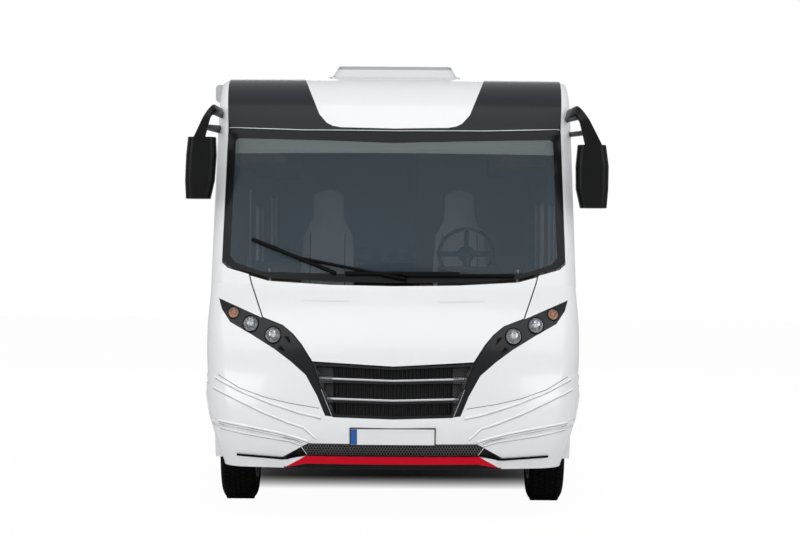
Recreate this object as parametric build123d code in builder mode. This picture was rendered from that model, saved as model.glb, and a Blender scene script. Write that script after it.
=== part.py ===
"""Integrated (A-class) motorhome on a front-wheel-drive van chassis, left-hand drive.

Millimetres. +Z up, the nose towards -Y, the vehicle's left side towards +X.
The origin lies on the ground under the middle of the overall length.
Stations along the vehicle are given as set-backs behind the nose; back() turns one into a Y.
"""

import os
from functools import cache
from math import sqrt

from build123d import *

# ---------------------------------------------------------------- driving dimensions
overall_length = 6990.0
wall_half_width = 1165.0      # outside of the flat side walls
wall_t = 34.0                 # sandwich wall and roof
roof_z = 2832.0
floor_z = 680.0               # top of the living floor
floor_t = 60.0
wall_foot_z = 600.0           # lower edge of the side walls, skirts hang below
skirt_foot_z = 330.0
skirt_t = 20.0
mask_back = 1500.0            # set-back where the moulded front meets the flat walls
gap = 5.0                     # running gap round everything that opens
seam = 3.0                    # shut line between fixed panels
bonnet_gap = 8.0              # shut line round the bonnet
bonnet_top_gap = 20.0         # gap under the windscreen surround, which the bonnet tips out through
bonnet_t = 8.0
grp_t = 25.0                  # moulded front panels
glass_t = 6.0

axle_front = 1000.0           # set-backs of the axles
wheelbase = 3800.0
track_half = 1005.0           # centre plane of a tyre
tyre_r = 366.0
tyre_w = 225.0
rim_r = 208.0
arch_r = 430.0
housing_t = 8.0
housing_x = 640.0             # inner wall of a wheel housing
kingpin_x = 930.0
arch_trim_w = 75.0            # width of the flare ring round each wheel opening
flare_x = 1208.0              # how far the flares stand out

axle_rear = axle_front + wheelbase
nose = -overall_length / 2
wall_back = 6880.0            # set-back of the side walls' rear ends
rear_wall_t = 75.0
rear_wall_back = wall_back + rear_wall_t


def back(setback):
    """Y of a station a given distance behind the nose."""
    return nose + setback


def front_view(setback):
    """Sketch plane across the vehicle: sketch x is X, sketch y is Z, extrusions run forwards."""
    return Plane.XZ.offset(-back(setback))


def side_view(x):
    """Sketch plane along the vehicle: sketch x is Y, sketch y is Z, extrusions run to +X."""
    return Plane.YZ.offset(x)


def save(piece, name):
    piece.label = name
    export_step(piece, f"parts/{name}.step")


def upright(front, rear, low, high, r=0.0):
    """A rectangle in the side view, between two set-backs and two heights."""
    with Locations((back((front + rear) / 2), (low + high) / 2)):
        if r:
            RectangleRounded(rear - front, high - low, r)
        else:
            Rectangle(rear - front, high - low)


def slab(x, y, z):
    """A box between two values along each axis."""
    middle = [(a + b) / 2 for a, b in (x, y, z)]
    with Locations(tuple(middle)):
        Box(x[1] - x[0], y[1] - y[0], z[1] - z[0])


os.makedirs("parts", exist_ok=True)

# ---------------------------------------------------------------- moulded front: outer form
# height, set-back on the centre line, half width, corner radius, radius of the bow
LOWER_SECTIONS = [
    (300, 135, 1035, 190, 4000),
    (430, 41, 1085, 200, 4000),
    (560, 8, 1122, 200, 4000),
    (760, 20, 1156, 190, 4000),
    (1000, 90, 1176, 170, 4000),
    (1220, 215, 1181, 140, 4000),
    (1433, 400, 1180, 110, 4000),
]
SCREEN_SECTIONS = [(1433, 400, 1180, 110, 4000), (2430, 790, 1180, 100, 4000)]
COWL_SECTIONS = [
    (2430, 790, 1180, 100, 4000),
    (2560, 856, 1179, 98, 4100),
    (2680, 945, 1176, 90, 4400),
    (2765, 1070, 1171, 80, 5000),
    (2812, 1210, 1163, 65, 6500),
    (roof_z, 1320, 1150, 50, 9000),
]
least_corner_r = 8.0
cowl_crown = 0.62             # how far an inner section slides back for each unit of inset, up on the cowl


def plan_section(z, setback, half_width, corner_r, bow_r, rear):
    """Plan outline at one height: a bowed front, two round corners and straight flanks."""
    corner_x = half_width - corner_r
    corner_y = setback + bow_r - sqrt((bow_r - corner_r) ** 2 - corner_x**2)
    tangent_x = corner_x * bow_r / (bow_r - corner_r)
    tangent_y = setback + bow_r - sqrt(bow_r**2 - tangent_x**2)
    lean = ((tangent_x - corner_x) / corner_r + 1) / 2
    knee_y = back(corner_y - corner_r * sqrt(1 - lean**2))
    knee_x = corner_x + corner_r * lean
    with BuildSketch(Plane.XY.offset(z)) as section:
        with BuildLine():
            ThreePointArc((-tangent_x, back(tangent_y)), (0, back(setback)), (tangent_x, back(tangent_y)))
            ThreePointArc((tangent_x, back(tangent_y)), (knee_x, knee_y), (half_width, back(corner_y)))
            Polyline(
                (half_width, back(corner_y)),
                (half_width, back(rear)),
                (-half_width, back(rear)),
                (-half_width, back(corner_y)),
            )
            ThreePointArc((-half_width, back(corner_y)), (-knee_x, knee_y), (-tangent_x, back(tangent_y)))
        make_face()
    return section.sketch


@cache
def front_block(inset, tall=True):
    """The solid front form, moved inwards by inset, or only its part below the windscreen if not tall.

    A moved form runs out below and behind. The inner side of a thick skin is ruled, in flat stages."""
    rear = mask_back + (100 if inset else 0)
    lower = []
    for z, setback, half_width, corner_r, bow_r in LOWER_SECTIONS:
        low = z - (60 if inset and z == LOWER_SECTIONS[0][0] else 0)
        corner = max(corner_r - inset, least_corner_r)
        lower.append(plan_section(low, setback + inset, half_width - inset, corner, bow_r, rear))
    screen = []
    for z, setback, half_width, corner_r, bow_r in SCREEN_SECTIONS:
        corner = max(corner_r - inset, least_corner_r)
        screen.append(plan_section(z, setback + inset, half_width - inset, corner, bow_r, rear))
    cowl = []
    for z, setback, half_width, corner_r, bow_r in COWL_SECTIONS:
        share = (z - COWL_SECTIONS[0][0]) / (roof_z - COWL_SECTIONS[0][0])
        slide = setback + inset * (1 - share * cowl_crown)
        top = z - inset * share
        corner = max(corner_r - inset, least_corner_r)
        cowl.append(plan_section(top, slide, half_width - inset, corner, bow_r, rear))
    with BuildPart() as block:
        loft(lower, ruled=inset >= grp_t)
        if tall:
            loft(screen)
            loft(cowl, ruled=inset >= grp_t)
    return block.part


def outline_across(half):
    """Front-view outline, given from its lowest to its highest point on the left side, mirrored."""
    return list(half) + [(-x, z) for x, z in reversed(half) if x > 0]


def prism_across(points, front, rear, grow=0):
    """A front-view outline, grown all round if asked, carried along the vehicle between two set-backs."""
    with BuildPart() as prism:
        with BuildSketch(front_view(rear)):
            Polygon(*points, align=None)
            if grow:
                offset(amount=grow, kind=Kind.INTERSECTION, mode=Mode.REPLACE)
        extrude(amount=rear - front)
    return prism.part


def prism_along(points, low_x, high_x):
    """A side-view outline of (set-back, height) points carried across between two X values."""
    with BuildPart() as prism:
        with BuildSketch(side_view(low_x)):
            Polygon(*[(back(setback), z) for setback, z in points], align=None)
        extrude(amount=high_x - low_x)
    return prism.part


def bar(start, end, r, sides=0):
    """A round bar between two points, or one with that many flat sides."""
    path = Line(start, end)
    with BuildPart() as rod:
        with BuildSketch(Plane(origin=start, z_dir=path % 0)):
            if sides:
                RegularPolygon(r, sides)
            else:
                Circle(r)
        extrude(amount=path.length)
    return rod.part


outer_form = front_block(0, True)
with BuildPart() as front_shell:
    add(outer_form)
    add(front_block(grp_t, True), mode=Mode.SUBTRACT)
with BuildPart() as glass_shell:
    add(outer_form)
    add(front_block(glass_t, True), mode=Mode.SUBTRACT)

# ---------------------------------------------------------------- moulded front: shut lines
# Outlines in the front view, (x, z) on the left side, from the lowest point on the centre line up.
SURROUND = [(0, 1445), (404, 1451), (796, 1474), (1067, 1549), (1105, 1583), (1101, 2458), (600, 2436), (0, 2430)]
SCREEN = [(0, 1499), (290, 1500), (843, 1512), (1020, 1570), (1056, 1612), (1050, 2376), (1030, 2392), (0, 2357)]
COWL = [(0, 2433), (600, 2439), (1104, 2461), (1135, 2900), (0, 2900)]
SHIELD = [(0, 2455), (351, 2463), (408, 2474), (446, 2494), (496, 2552), (612, 2833), (640, 2900), (0, 2900)]
BONNET = [(0, 935), (498, 962), (566, 1064), (621, 1127), (690, 1181), (818, 1228), (905, 1440), (918, 1486)]
BONNET += [(796, 1453), (404, 1431), (0, 1425)]
GRILLE = [(0, 618), (363, 628), (411, 734), (461, 856), (498, 953), (0, 928)]
BUMPER = [(0, 250), (1250, 250), (1250, 925), (1087, 869), (951, 792), (793, 739), (637, 705), (449, 676)]
BUMPER += [(415, 630), (363, 624), (0, 614)]
INTAKE = [(0, 379), (533, 379), (680, 352), (968, 372), (968, 384), (680, 370), (564, 437), (520, 461), (0, 461)]
LIP = [(0, 304), (663, 304), (535, 378), (0, 378)]
# Ribs that run round the corners of the bumper, from the middle outwards.
RIB_HIGH = [(415, 604), (439, 622), (575, 651), (762, 709), (951, 780), (1107, 856), (1250, 900)]
RIB_MIDDLE = [(446, 473), (544, 560), (637, 589), (793, 648), (950, 719), (1118, 794), (1250, 850)]
RIB_LOW = [(520, 475), (582, 496), (699, 526), (886, 560), (1083, 592), (1250, 622)]
RIB_FOOT = [(560, 452), (638, 477), (887, 513), (1071, 549), (1250, 585)]
scuttle_drop = 12.0           # the mask stays clear this far below the surround, where the bonnet tips out
rib_edge_h = 21.0
rib_step = 6.0                # each rib stands this much prouder than the last
POD = [(367, 628), (415, 633), (465, 752), (538, 879), (634, 960), (737, 1033), (895, 1125), (1026, 1194)]
POD += [(1087, 1274), (1112, 1342), (822, 1223), (694, 1177), (625, 1122), (570, 1059), (502, 956), (464, 855)]
POD += [(414, 732)]



def pair_across(points, front, rear, grow=0):
    """A front-view outline on the left side and its mirror image, as two prisms."""
    with BuildPart() as pair:
        add(prism_across(points, front, rear, grow))
        add(prism_across([(-x, z) for x, z in points], front, rear, grow))
    return pair.part


def front_panel(zone, proud=0.0, thickness=grp_t, tall=False):
    """The skin of the front inside a front-view zone, standing proud of the form if asked."""
    with BuildPart() as panel:
        add(zone)
        add(front_block(-proud, tall), mode=Mode.INTERSECT)
        add(front_block(thickness, tall), mode=Mode.SUBTRACT)
    return panel.part


surround_zone = prism_across(outline_across(SURROUND), -100, 1440)
screen_zone = prism_across(outline_across(SCREEN), -100, 1440)
cowl_zone = prism_across(outline_across(COWL), -100, mask_back)
shield_zone = prism_across(outline_across(SHIELD), -100, mask_back)
bonnet_zone = prism_across(outline_across(BONNET), -100, 1440)
grille_zone = prism_across(outline_across(GRILLE), -100, 1440)
bumper_zone = prism_across(outline_across(BUMPER), -100, 560)
lip_zone = prism_across(outline_across(LIP), -100, 560)
pod_zones = pair_across(POD, -100, 1440)

# Wheel wells, front and rear.
with BuildPart() as arch_cut:
    for setback in (axle_front, axle_rear):
        with BuildSketch(side_view(-1400)):
            with Locations((back(setback), tyre_r)):
                Circle(arch_r + arch_trim_w)
        extrude(amount=2800)
    with Locations((0, 0, 400)):
        Box(2 * housing_x, overall_length + 20, 2000, mode=Mode.SUBTRACT)

cab_window = [(745, 1400), (1435, 1400), (1435, 2050), (985, 2050)]
with BuildPart() as cab_window_cut:
    add(prism_along(cab_window, -1300, 1300))
    with Locations((0, 0, 1500)):
        Box(2100, overall_length, 2000, mode=Mode.SUBTRACT)

# The bonnet turns on two pins behind the lower corners of the surround, on arms that pass under its edge.
bonnet_hinge_back = 550.0
bonnet_hinge_z = 1520.0
hinge_arm_x = 790.0
hinge_arm_t = 14.0
hinge_pin_r = 8.0
# Side views about the pin: (set-back, height).
HINGE_ARM = [(12, 12), (52, -2), (66, -62), (42, -112), (-40, -128), (-110, -118)]
HINGE_ARM += [(-110, -98), (-38, -108), (28, -96), (48, -60), (36, -14), (0, -12)]
HINGE_BRACKET = [(-60, -44), (-18, -44), (12, -12), (12, 12), (-12, 12), (-60, -22)]


def hinge_plate(points, low_x):
    """A flat hinge part on each side, low_x or more from the middle, inside the skin."""
    outline = [(bonnet_hinge_back + setback, bonnet_hinge_z + z) for setback, z in points]
    with BuildPart() as plate:
        add(prism_along(outline, low_x, low_x + hinge_arm_t))
        add(prism_along(outline, -low_x - hinge_arm_t, -low_x))
        add(front_block(bonnet_t, True), mode=Mode.INTERSECT)
    return plate.part


def hinge_rod(r, low_x, high_x):
    """A round rod on each side on the bonnet's hinge line."""
    with BuildPart() as rod:
        for side in (-1, 1):
            with BuildSketch(side_view(low_x if side > 0 else -high_x)):
                with Locations((back(bonnet_hinge_back), bonnet_hinge_z)):
                    Circle(r)
            extrude(amount=high_x - low_x)
    return rod.part


with BuildPart() as windscreen_surround:
    add(front_shell.part)
    add(surround_zone, mode=Mode.INTERSECT)
    add(screen_zone, mode=Mode.SUBTRACT)
    bracket_x = hinge_arm_x + hinge_arm_t + 2
    add(hinge_plate(HINGE_BRACKET, bracket_x))
    add(hinge_rod(hinge_pin_r, hinge_arm_x - 4, bracket_x + hinge_arm_t))
save(windscreen_surround.part, "windscreen_surround")

with BuildPart() as windscreen:
    add(glass_shell.part)
    add(screen_zone, mode=Mode.INTERSECT)
save(windscreen.part, "windscreen")

with BuildPart() as cowl_shield:
    add(front_shell.part)
    add(shield_zone, mode=Mode.INTERSECT)
save(cowl_shield.part, "cowl_shield")

with BuildPart() as cowl_panels:
    add(front_shell.part)
    add(cowl_zone, mode=Mode.INTERSECT)
    add(shield_zone, mode=Mode.SUBTRACT)
save(cowl_panels.part, "cowl_panels")

CREASE = [(275, 1328), (579, 1331), (579, 1341), (275, 1338)]
with BuildPart() as bonnet:
    add(front_panel(bonnet_zone, 0, bonnet_t, tall=True))
    add(front_panel(pair_across(CREASE, -100, 1440), rib_step, bonnet_t, tall=True))
    add(prism_across(outline_across(SURROUND), -100, 1440, bonnet_top_gap), mode=Mode.SUBTRACT)
    add(hinge_plate(HINGE_ARM, hinge_arm_x))
    add(hinge_rod(hinge_pin_r + 5, hinge_arm_x, hinge_arm_x + hinge_arm_t))
    add(hinge_rod(hinge_pin_r + 1, hinge_arm_x - 1, hinge_arm_x + hinge_arm_t + 1), mode=Mode.SUBTRACT)
save(bonnet.part, "bonnet")

# Lamps in the pods: distance from the middle, height, set-back of the skin there, radius.
LAMPS = [(1010, 1257, 375, 35), (895, 1186, 297, 48), (750, 1119, 229, 49)]
lamp_depth = 70.0


def lamp_rods(clearance, front, rear):
    """A cylinder for each lamp, smaller by a clearance, between two distances behind the skin."""
    with BuildPart() as rods:
        for x, z, setback, r in LAMPS:
            for side in (-1, 1):
                with BuildSketch(front_view(setback + rear)):
                    with Locations((side * x, z)):
                        Circle(r - clearance)
                extrude(amount=rear - front)
    return rods.part


with BuildPart() as lamp_pods:
    add(front_panel(pod_zones))
    add(lamp_rods(0, -200, lamp_depth), mode=Mode.SUBTRACT)
save(lamp_pods.part, "lamp_pods")

# Grille: a rim, two bars in two steps, a pleated sheet between them and plain corners beside it.
grille_rim_w = 14.0
grille_depth = 62.0
sheet_setback = 38.0
sheet_t = 4.0
pleat_pitch = 24.0
pleat_depth = 14.0
pleat_half = 372.0
pleat_lean = 0.19
bow_r = 4000.0
BAR_HEIGHTS = [(842, 854), (722, 732)]       # middle line of a bar at the centre and at its ends
bar_h = 30.0
bar_reach = 415.0             # half length of the lower bar, before the rim cuts it
pleat_steps = round(2 * pleat_half / (pleat_pitch / 2))
pleat_front = []
for step in range(pleat_steps + 1):
    x = -pleat_half + step * pleat_pitch / 2
    bow = bow_r - sqrt(bow_r**2 - x**2)
    pleat_front.append((x, back(sheet_setback + bow + pleat_depth * (step % 2))))
pleat_rear = [(x, y + sheet_t) for x, y in reversed(pleat_front)]
grille_hole = prism_across(outline_across(GRILLE), -100, 560, -grille_rim_w)
with BuildPart() as pleated_sheet:
    with BuildSketch(Plane.XY.offset(600)):
        Polygon(*(pleat_front + pleat_rear), align=None)
    extrude(amount=380, dir=(0, pleat_lean, 1))
    add(prism_across(outline_across(GRILLE), -100, 560, -grille_rim_w / 2), mode=Mode.INTERSECT)
rim_half = prism_across(outline_across(GRILLE), -100, 560, -grille_rim_w / 2)
with BuildPart() as bar_zones:
    for middle, end in BAR_HEIGHTS:
        half = bar_reach + end - BAR_HEIGHTS[-1][1]
        low = [(0, middle - bar_h / 2), (half, end - bar_h / 2)]
        high = [(half, end + bar_h / 2), (0, middle + bar_h / 2)]
        add(prism_across(outline_across(low + high), -100, 560))
    add(rim_half, mode=Mode.INTERSECT)
with BuildPart() as sheet_zones:
    add(rim_half)
    with Locations((0, back(200), 780)):
        Box(2 * pleat_half - 8, 1000, 800, mode=Mode.SUBTRACT)
    add(prism_across(outline_across(INTAKE[:3] + INTAKE[-3:]), -100, 560))
with BuildPart() as grille:
    add(front_panel(grille_zone, 0, grille_depth))
    add(grille_hole, mode=Mode.SUBTRACT)
    add(front_panel(bar_zones.part, rib_step))
    add(pleated_sheet.part)
    with BuildPart() as plain_sheets:
        add(sheet_zones.part)
        add(front_block(sheet_setback, False), mode=Mode.INTERSECT)
        add(front_block(sheet_setback + sheet_t, False), mode=Mode.SUBTRACT)
    add(plain_sheets.part)
save(grille.part, "grille")

plate_w = 520.0
plate_h = 110.0
plate_place = Location((0, back(22), 506), (15, 0, 0))
BUMPER_STEPS = [
    (1, pair_across([(0, 250), (1250, 250)] + RIB_HIGH[::-1] + [(0, 600)], -100, 560)),
    (2, pair_across(RIB_MIDDLE + RIB_LOW[::-1], -100, 560)),
    (3, pair_across(RIB_LOW + [(x, z - rib_edge_h) for x, z in RIB_LOW[::-1]], -100, 560)),
    (2, pair_across([(560, 250), (1250, 250)] + RIB_FOOT[::-1], -100, 560)),
]
with BuildPart() as bumper:
    add(front_panel(bumper_zone))
    for steps, step_zone in BUMPER_STEPS:
        add(front_panel(step_zone, steps * rib_step))
    with Locations(plate_place * Pos(0, -16, 0)):
        Box(plate_w + 4, 40, plate_h + 4, mode=Mode.SUBTRACT)
    add(prism_across(outline_across(INTAKE), -100, 560), mode=Mode.SUBTRACT)
    add(prism_across(outline_across(LIP), -100, 560, 1), mode=Mode.SUBTRACT)
    add(arch_cut.part, mode=Mode.SUBTRACT)
    with Locations((0, 0, 150)):
        Box(3000, 2 * overall_length, 300, mode=Mode.SUBTRACT)
save(bumper.part, "bumper")

with BuildPart() as front_lip:
    add(front_panel(lip_zone, 2 * rib_step))
save(front_lip.part, "front_lip")

mask_foot = prism_along([(-100, 200), (1600, 200), (1600, 600), (-100, 600)], -1300, 1300)
with BuildPart() as front_mask:
    add(front_shell.part)
    for drop in (0, scuttle_drop):
        lowered = [(x, z - drop) for x, z in outline_across(SURROUND)]
        add(prism_across(lowered, -100, 1440, seam), mode=Mode.SUBTRACT)
    add(prism_across(outline_across(BONNET), -100, 1440, bonnet_gap), mode=Mode.SUBTRACT)
    add(prism_across(outline_across(GRILLE), -100, 1440, seam + 2), mode=Mode.SUBTRACT)
    for zone in (cowl_zone, bumper_zone, pod_zones):
        add(zone, mode=Mode.SUBTRACT)
    add(arch_cut.part, mode=Mode.SUBTRACT)
    add(cab_window_cut.part, mode=Mode.SUBTRACT)
    add(mask_foot, mode=Mode.SUBTRACT)
save(front_mask.part, "front_mask")

# ---------------------------------------------------------------- living box
hinge_offset = 3.0            # a hinge pin lies this far beyond the edge of its opening
hinge_stand = 9.0             # and this far outside the wall
hinge_r = 8.0
hinge_knuckle_h = 30.0
hinge_leaf = 34.0
wall_in = wall_half_width - wall_t
roof_foot = roof_z - wall_t

# Openings through the side walls: name, side, front and rear set-back, low and high, corner radius.
WALL_OPENINGS = [
    ("driver_door", 1, 1560, 2260, 620, 2080, 20),
    ("entry_door", -1, 2750, 3400, 620, 2450, 20),
    ("garage_left", 1, 5750, 6500, 680, 1500, 20),
    ("garage_right", -1, 5500, 6500, 680, 1500, 20),
    ("dinette_window", 1, 2560, 3460, 1450, 2050, 60),
    ("bath_window", 1, 4300, 4750, 1750, 2150, 60),
    ("kitchen_window", -1, 3750, 4650, 1500, 2050, 60),
    ("bed_window_left", 1, 5600, 6400, 1750, 2200, 60),
    ("bed_window_right", -1, 5600, 6400, 1750, 2200, 60),
]


def opening(wanted, inset, low_x, high_x):
    """The named wall opening as a prism, shrunk all round by inset, between two distances from the middle."""
    for name, side, front, rear, low, high, r in WALL_OPENINGS:
        if name == wanted:
            start = low_x if side > 0 else -high_x
            with BuildPart() as prism:
                with BuildSketch(side_view(start)):
                    upright(front + inset, rear - inset, low + inset, high - inset, max(r - inset, 5))
                extrude(amount=high_x - low_x)
            return prism.part


# Outside hinges: opening, set-back of the pin, heights of the pairs, +1 where the door lies behind its pin.
HINGES = {
    "driver_door": (1560 - hinge_offset, (760, 1250), 1),
    "entry_door": (2750 - hinge_offset, (780, 1500, 2250), 1),
    "garage_left": (6500 + hinge_offset, (850, 1330), -1),
    "garage_right": (6500 + hinge_offset, (850, 1330), -1),
}
HANDLES = {
    "driver_door": (2205, 1180),
    "entry_door": (3345, 1300),
    "garage_left": (5800, 1090),
    "garage_right": (5550, 1090),
}


def hinge_leaves(wanted, moving, pin_gap=0.0):
    """The knuckles and leaves of a wall opening's hinges, those of the door if moving, or else of the wall.

    With a pin gap it is instead the room round the other half's knuckles."""
    side = [row[1] for row in WALL_OPENINGS if row[0] == wanted][0]
    pin_back, heights, behind = HINGES[wanted]
    pin_x = side * (wall_half_width + hinge_stand)
    with BuildPart() as leaves:
        for height in heights:
            for step in (-1, 0, 1):
                if (step == 0) != bool(moving != (pin_gap > 0)):
                    continue
                with Locations((pin_x, back(pin_back), height + step * hinge_knuckle_h)):
                    Cylinder(hinge_r + pin_gap, hinge_knuckle_h - 1 + 2 * pin_gap)
                if not pin_gap:
                    reach = behind * (hinge_leaf if moving else -hinge_leaf)
                    root = behind * (hinge_offset + gap) if moving else 0
                    low = height + step * hinge_knuckle_h - (hinge_knuckle_h - 1) / 2
                    for start, foot in ((0, 1), (root, -1)):
                        leaf_x = sorted((side * (wall_half_width + foot), side * (wall_half_width + 6)))
                        ends = sorted((back(pin_back + start), back(pin_back + reach)))
                        slab(leaf_x, ends, (low, low + hinge_knuckle_h - 1))
    return leaves.part


def door_handle(wanted):
    """A pull handle: a recess plate with a bowed grip."""
    side = [row[1] for row in WALL_OPENINGS if row[0] == wanted][0]
    handle_back, height = HANDLES[wanted]
    with BuildPart() as handle:
        with BuildSketch(side_view(wall_half_width - 1 if side > 0 else -wall_half_width - 5)):
            with Locations((back(handle_back), height)):
                RectangleRounded(52, 150, 12)
        extrude(amount=6)
        with BuildSketch(side_view(wall_half_width + 5 if side > 0 else -wall_half_width - 22)):
            with Locations((back(handle_back), height - 48), (back(handle_back), height + 48)):
                RectangleRounded(26, 22, 5)
        extrude(amount=17)
        with BuildSketch(side_view(wall_half_width + 15 if side > 0 else -wall_half_width - 24)):
            with Locations((back(handle_back), height)):
                RectangleRounded(26, 118, 8)
        extrude(amount=9)
    return handle.part


for side, name in ((1, "side_wall_left"), (-1, "side_wall_right")):
    with BuildPart() as side_wall:
        start = wall_in if side > 0 else -wall_half_width
        with BuildSketch(side_view(start)):
            upright(mask_back + seam, wall_back, wall_foot_z, roof_foot)
        extrude(amount=wall_t)
        for opening_name, opening_side, *_ in WALL_OPENINGS:
            if opening_side == side:
                add(opening(opening_name, 0, wall_in - 10, wall_half_width + 10), mode=Mode.SUBTRACT)
                if opening_name in HINGES:
                    add(hinge_leaves(opening_name, 0))
        add(arch_cut.part, mode=Mode.SUBTRACT)
    save(side_wall.part, name)

with BuildPart() as roof:
    slab((-wall_half_width, wall_half_width), (back(mask_back + seam), back(rear_wall_back)), (roof_foot, roof_z))
    fillet(roof.faces().sort_by(Axis.Z)[-1].edges().filter_by(Axis.Y), 30)
save(roof.part, "roof")

with BuildPart() as rear_wall:
    slab(
        (-wall_half_width, wall_half_width),
        (back(wall_back), back(rear_wall_back)),
        (wall_foot_z, roof_foot),
    )
    fillet(rear_wall.faces().sort_by(Axis.Y)[-1].edges().filter_by(Axis.Z), 60)
save(rear_wall.part, "rear_wall")

with BuildPart() as rear_bumper:
    slab((-wall_half_width, wall_half_width), (back(6700), back(overall_length)), (430, 598))
    slab((-wall_half_width, wall_half_width), (back(rear_wall_back), back(overall_length)), (598, 760))
    fillet(rear_bumper.faces().sort_by(Axis.Y)[-1].edges().filter_by(Axis.Z), 34)
    with Locations((0, back(6800), 510)):
        Box(2 * wall_half_width - 80, 230, 200, mode=Mode.SUBTRACT)
save(rear_bumper.part, "rear_bumper")

lamp_x = 1060.0
lamp_proud = 30.0
with BuildPart() as rear_lamps:
    for side in (-1, 1):
        with BuildSketch(front_view(rear_wall_back + lamp_proud)):
            with Locations((side * lamp_x, 1060)):
                RectangleRounded(120, 480, 40)
        extrude(amount=lamp_proud)
save(rear_lamps.part, "rear_lamps")

# Floor plate, cut away round the wheels, with the four wheel housings and the cab bulkhead on it.
bulkhead_back = 760.0
bulkhead_t = 30.0
bulkhead_half = 1120.0
bulkhead_wing_z = 825.0       # outside the wheel housings the bulkhead starts above them
dash_foot = 1240.0
floor_low = floor_z - floor_t
cab_floor_half = 1085.0       # inside of the moulded front
housing_low = 420.0
axle_slot = (100.0, 200.0, 440.0)      # opening for the suspension arms: length, height, middle height
with BuildPart() as housing_forms:
    for setback, reach in ((axle_front, cab_floor_half), (axle_rear, wall_in)):
        with BuildSketch(side_view(-reach)):
            with Locations((back(setback), tyre_r)):
                Circle(arch_r + housing_t)
        extrude(amount=2 * reach)
    with Locations((0, 0, 0)):
        Box(2 * (housing_x - housing_t), overall_length, 3000, mode=Mode.SUBTRACT)
    with Locations((0, 0, 0)):
        Box(3000, overall_length, 2 * housing_low, mode=Mode.SUBTRACT)
with BuildPart() as wheel_space:
    for setback in (axle_front, axle_rear):
        with BuildSketch(side_view(-1400)):
            with Locations((back(setback), tyre_r)):
                Circle(arch_r)
        extrude(amount=2800)
    with Locations((0, 0, 400)):
        Box(2 * housing_x, overall_length, 2000, mode=Mode.SUBTRACT)
with BuildPart() as floor:
    slab((-wall_in, wall_in), (back(mask_back + seam), back(wall_back)), (floor_low, floor_z))
    slab((-cab_floor_half, cab_floor_half), (back(axle_front + 300), back(mask_back + seam)), (floor_low, floor_z))
    slab((-housing_x, housing_x), (back(bulkhead_back), back(axle_front + 300)), (floor_low, floor_z))
    add(housing_forms.part, mode=Mode.SUBTRACT)
save(floor.part, "floor")

with BuildPart() as wheel_housings:
    add(housing_forms.part)
    add(wheel_space.part, mode=Mode.SUBTRACT)
    with Locations((0, back(axle_front), axle_slot[2])):
        Box(2 * housing_x + 120, axle_slot[0], axle_slot[1], mode=Mode.SUBTRACT)
save(wheel_housings.part, "wheel_housings")

with BuildPart() as bulkhead:
    sheet = (back(bulkhead_back - bulkhead_t), back(bulkhead_back))
    slab((housing_t - housing_x, housing_x - housing_t), sheet, (floor_low, dash_foot))
    slab((-bulkhead_half, bulkhead_half), sheet, (bulkhead_wing_z, dash_foot))
save(bulkhead.part, "bulkhead")

# Flares round the wheel openings, fading into the body towards their feet: front views, on the left side.
FRONT_FLARE = [(0, 330), (1128, 330), (1135, 480), (1180, 600), (flare_x, 720), (flare_x, 900), (0, 900)]
REAR_FLARE = [(0, 330), (1168, 330), (1172, 480), (1190, 600), (flare_x, 720), (flare_x, 900), (0, 900)]


def flare_pair(setback, root, outline):
    """The two flares of one axle, from a distance root from the middle out to the outline."""
    with BuildPart() as pair:
        with BuildSketch(side_view(-flare_x)):
            with Locations((back(setback), tyre_r)):
                Circle(arch_r + arch_trim_w)
                Circle(arch_r, mode=Mode.SUBTRACT)
        extrude(amount=2 * flare_x)
        add(prism_across(outline_across(outline), setback - 600, setback + 600), mode=Mode.INTERSECT)
        with Locations((0, back(setback), 500)):
            Box(2 * root, 1400, 1200, mode=Mode.SUBTRACT)
    return pair.part


with BuildPart() as wheel_arch_trims:
    for setback, root, outline in ((axle_front, 1085, FRONT_FLARE), (axle_rear, wall_in, REAR_FLARE)):
        add(flare_pair(setback, root, outline))
save(wheel_arch_trims.part, "wheel_arch_trims")

with BuildPart() as skirts:
    arch_reach = arch_r + arch_trim_w
    for start, end in ((mask_back, axle_rear - arch_reach), (axle_rear + arch_reach, 6697)):
        for side in (-1, 1):
            x = (1140, 1160) if side > 0 else (-1160, -1140)
            slab(x, (back(start), back(end)), (skirt_foot_z, wall_foot_z))
            slab((x[0] - (9 if side > 0 else 0), x[1] + (0 if side > 0 else 9)), (back(start), back(end)), (578, wall_foot_z))
save(skirts.part, "skirts")

# ---------------------------------------------------------------- chassis and running gear
rail_x = (430.0, 500.0)
rail_z = (420.0, floor_low)
tow_bolt_x = 465.0            # tow-bar bolts come up into the rails from below
tow_bolt_r = 6.5
tow_bolt_pitch = 120.0
tow_bolt_setback = 6740.0
with BuildPart() as chassis_frame:
    for side in (-1, 1):
        x = rail_x if side > 0 else (-rail_x[1], -rail_x[0])
        slab(x, (back(190), back(6850)), rail_z)
    for setback in (300, 1300, 2300, 3300, 4250, 5400, 6300, 6810):
        slab((-rail_x[0], rail_x[0]), (back(setback - 30), back(setback + 30)), (480, 600))
    slab((-520, 520), (back(150), back(190)), (440, 560))
    for setback in (1600, 2650, 3700, 5300, 6600):
        slab((-wall_in, wall_in), (back(setback - 25), back(setback + 25)), (560, floor_low))
    for x in (-tow_bolt_x, tow_bolt_x):
        for setback in (tow_bolt_setback - tow_bolt_pitch / 2, tow_bolt_setback + tow_bolt_pitch / 2):
            with Locations((x, back(setback), rail_z[0] + 30)):
                Cylinder(tow_bolt_r, 60, mode=Mode.SUBTRACT)
save(chassis_frame.part, "chassis_frame")

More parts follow.
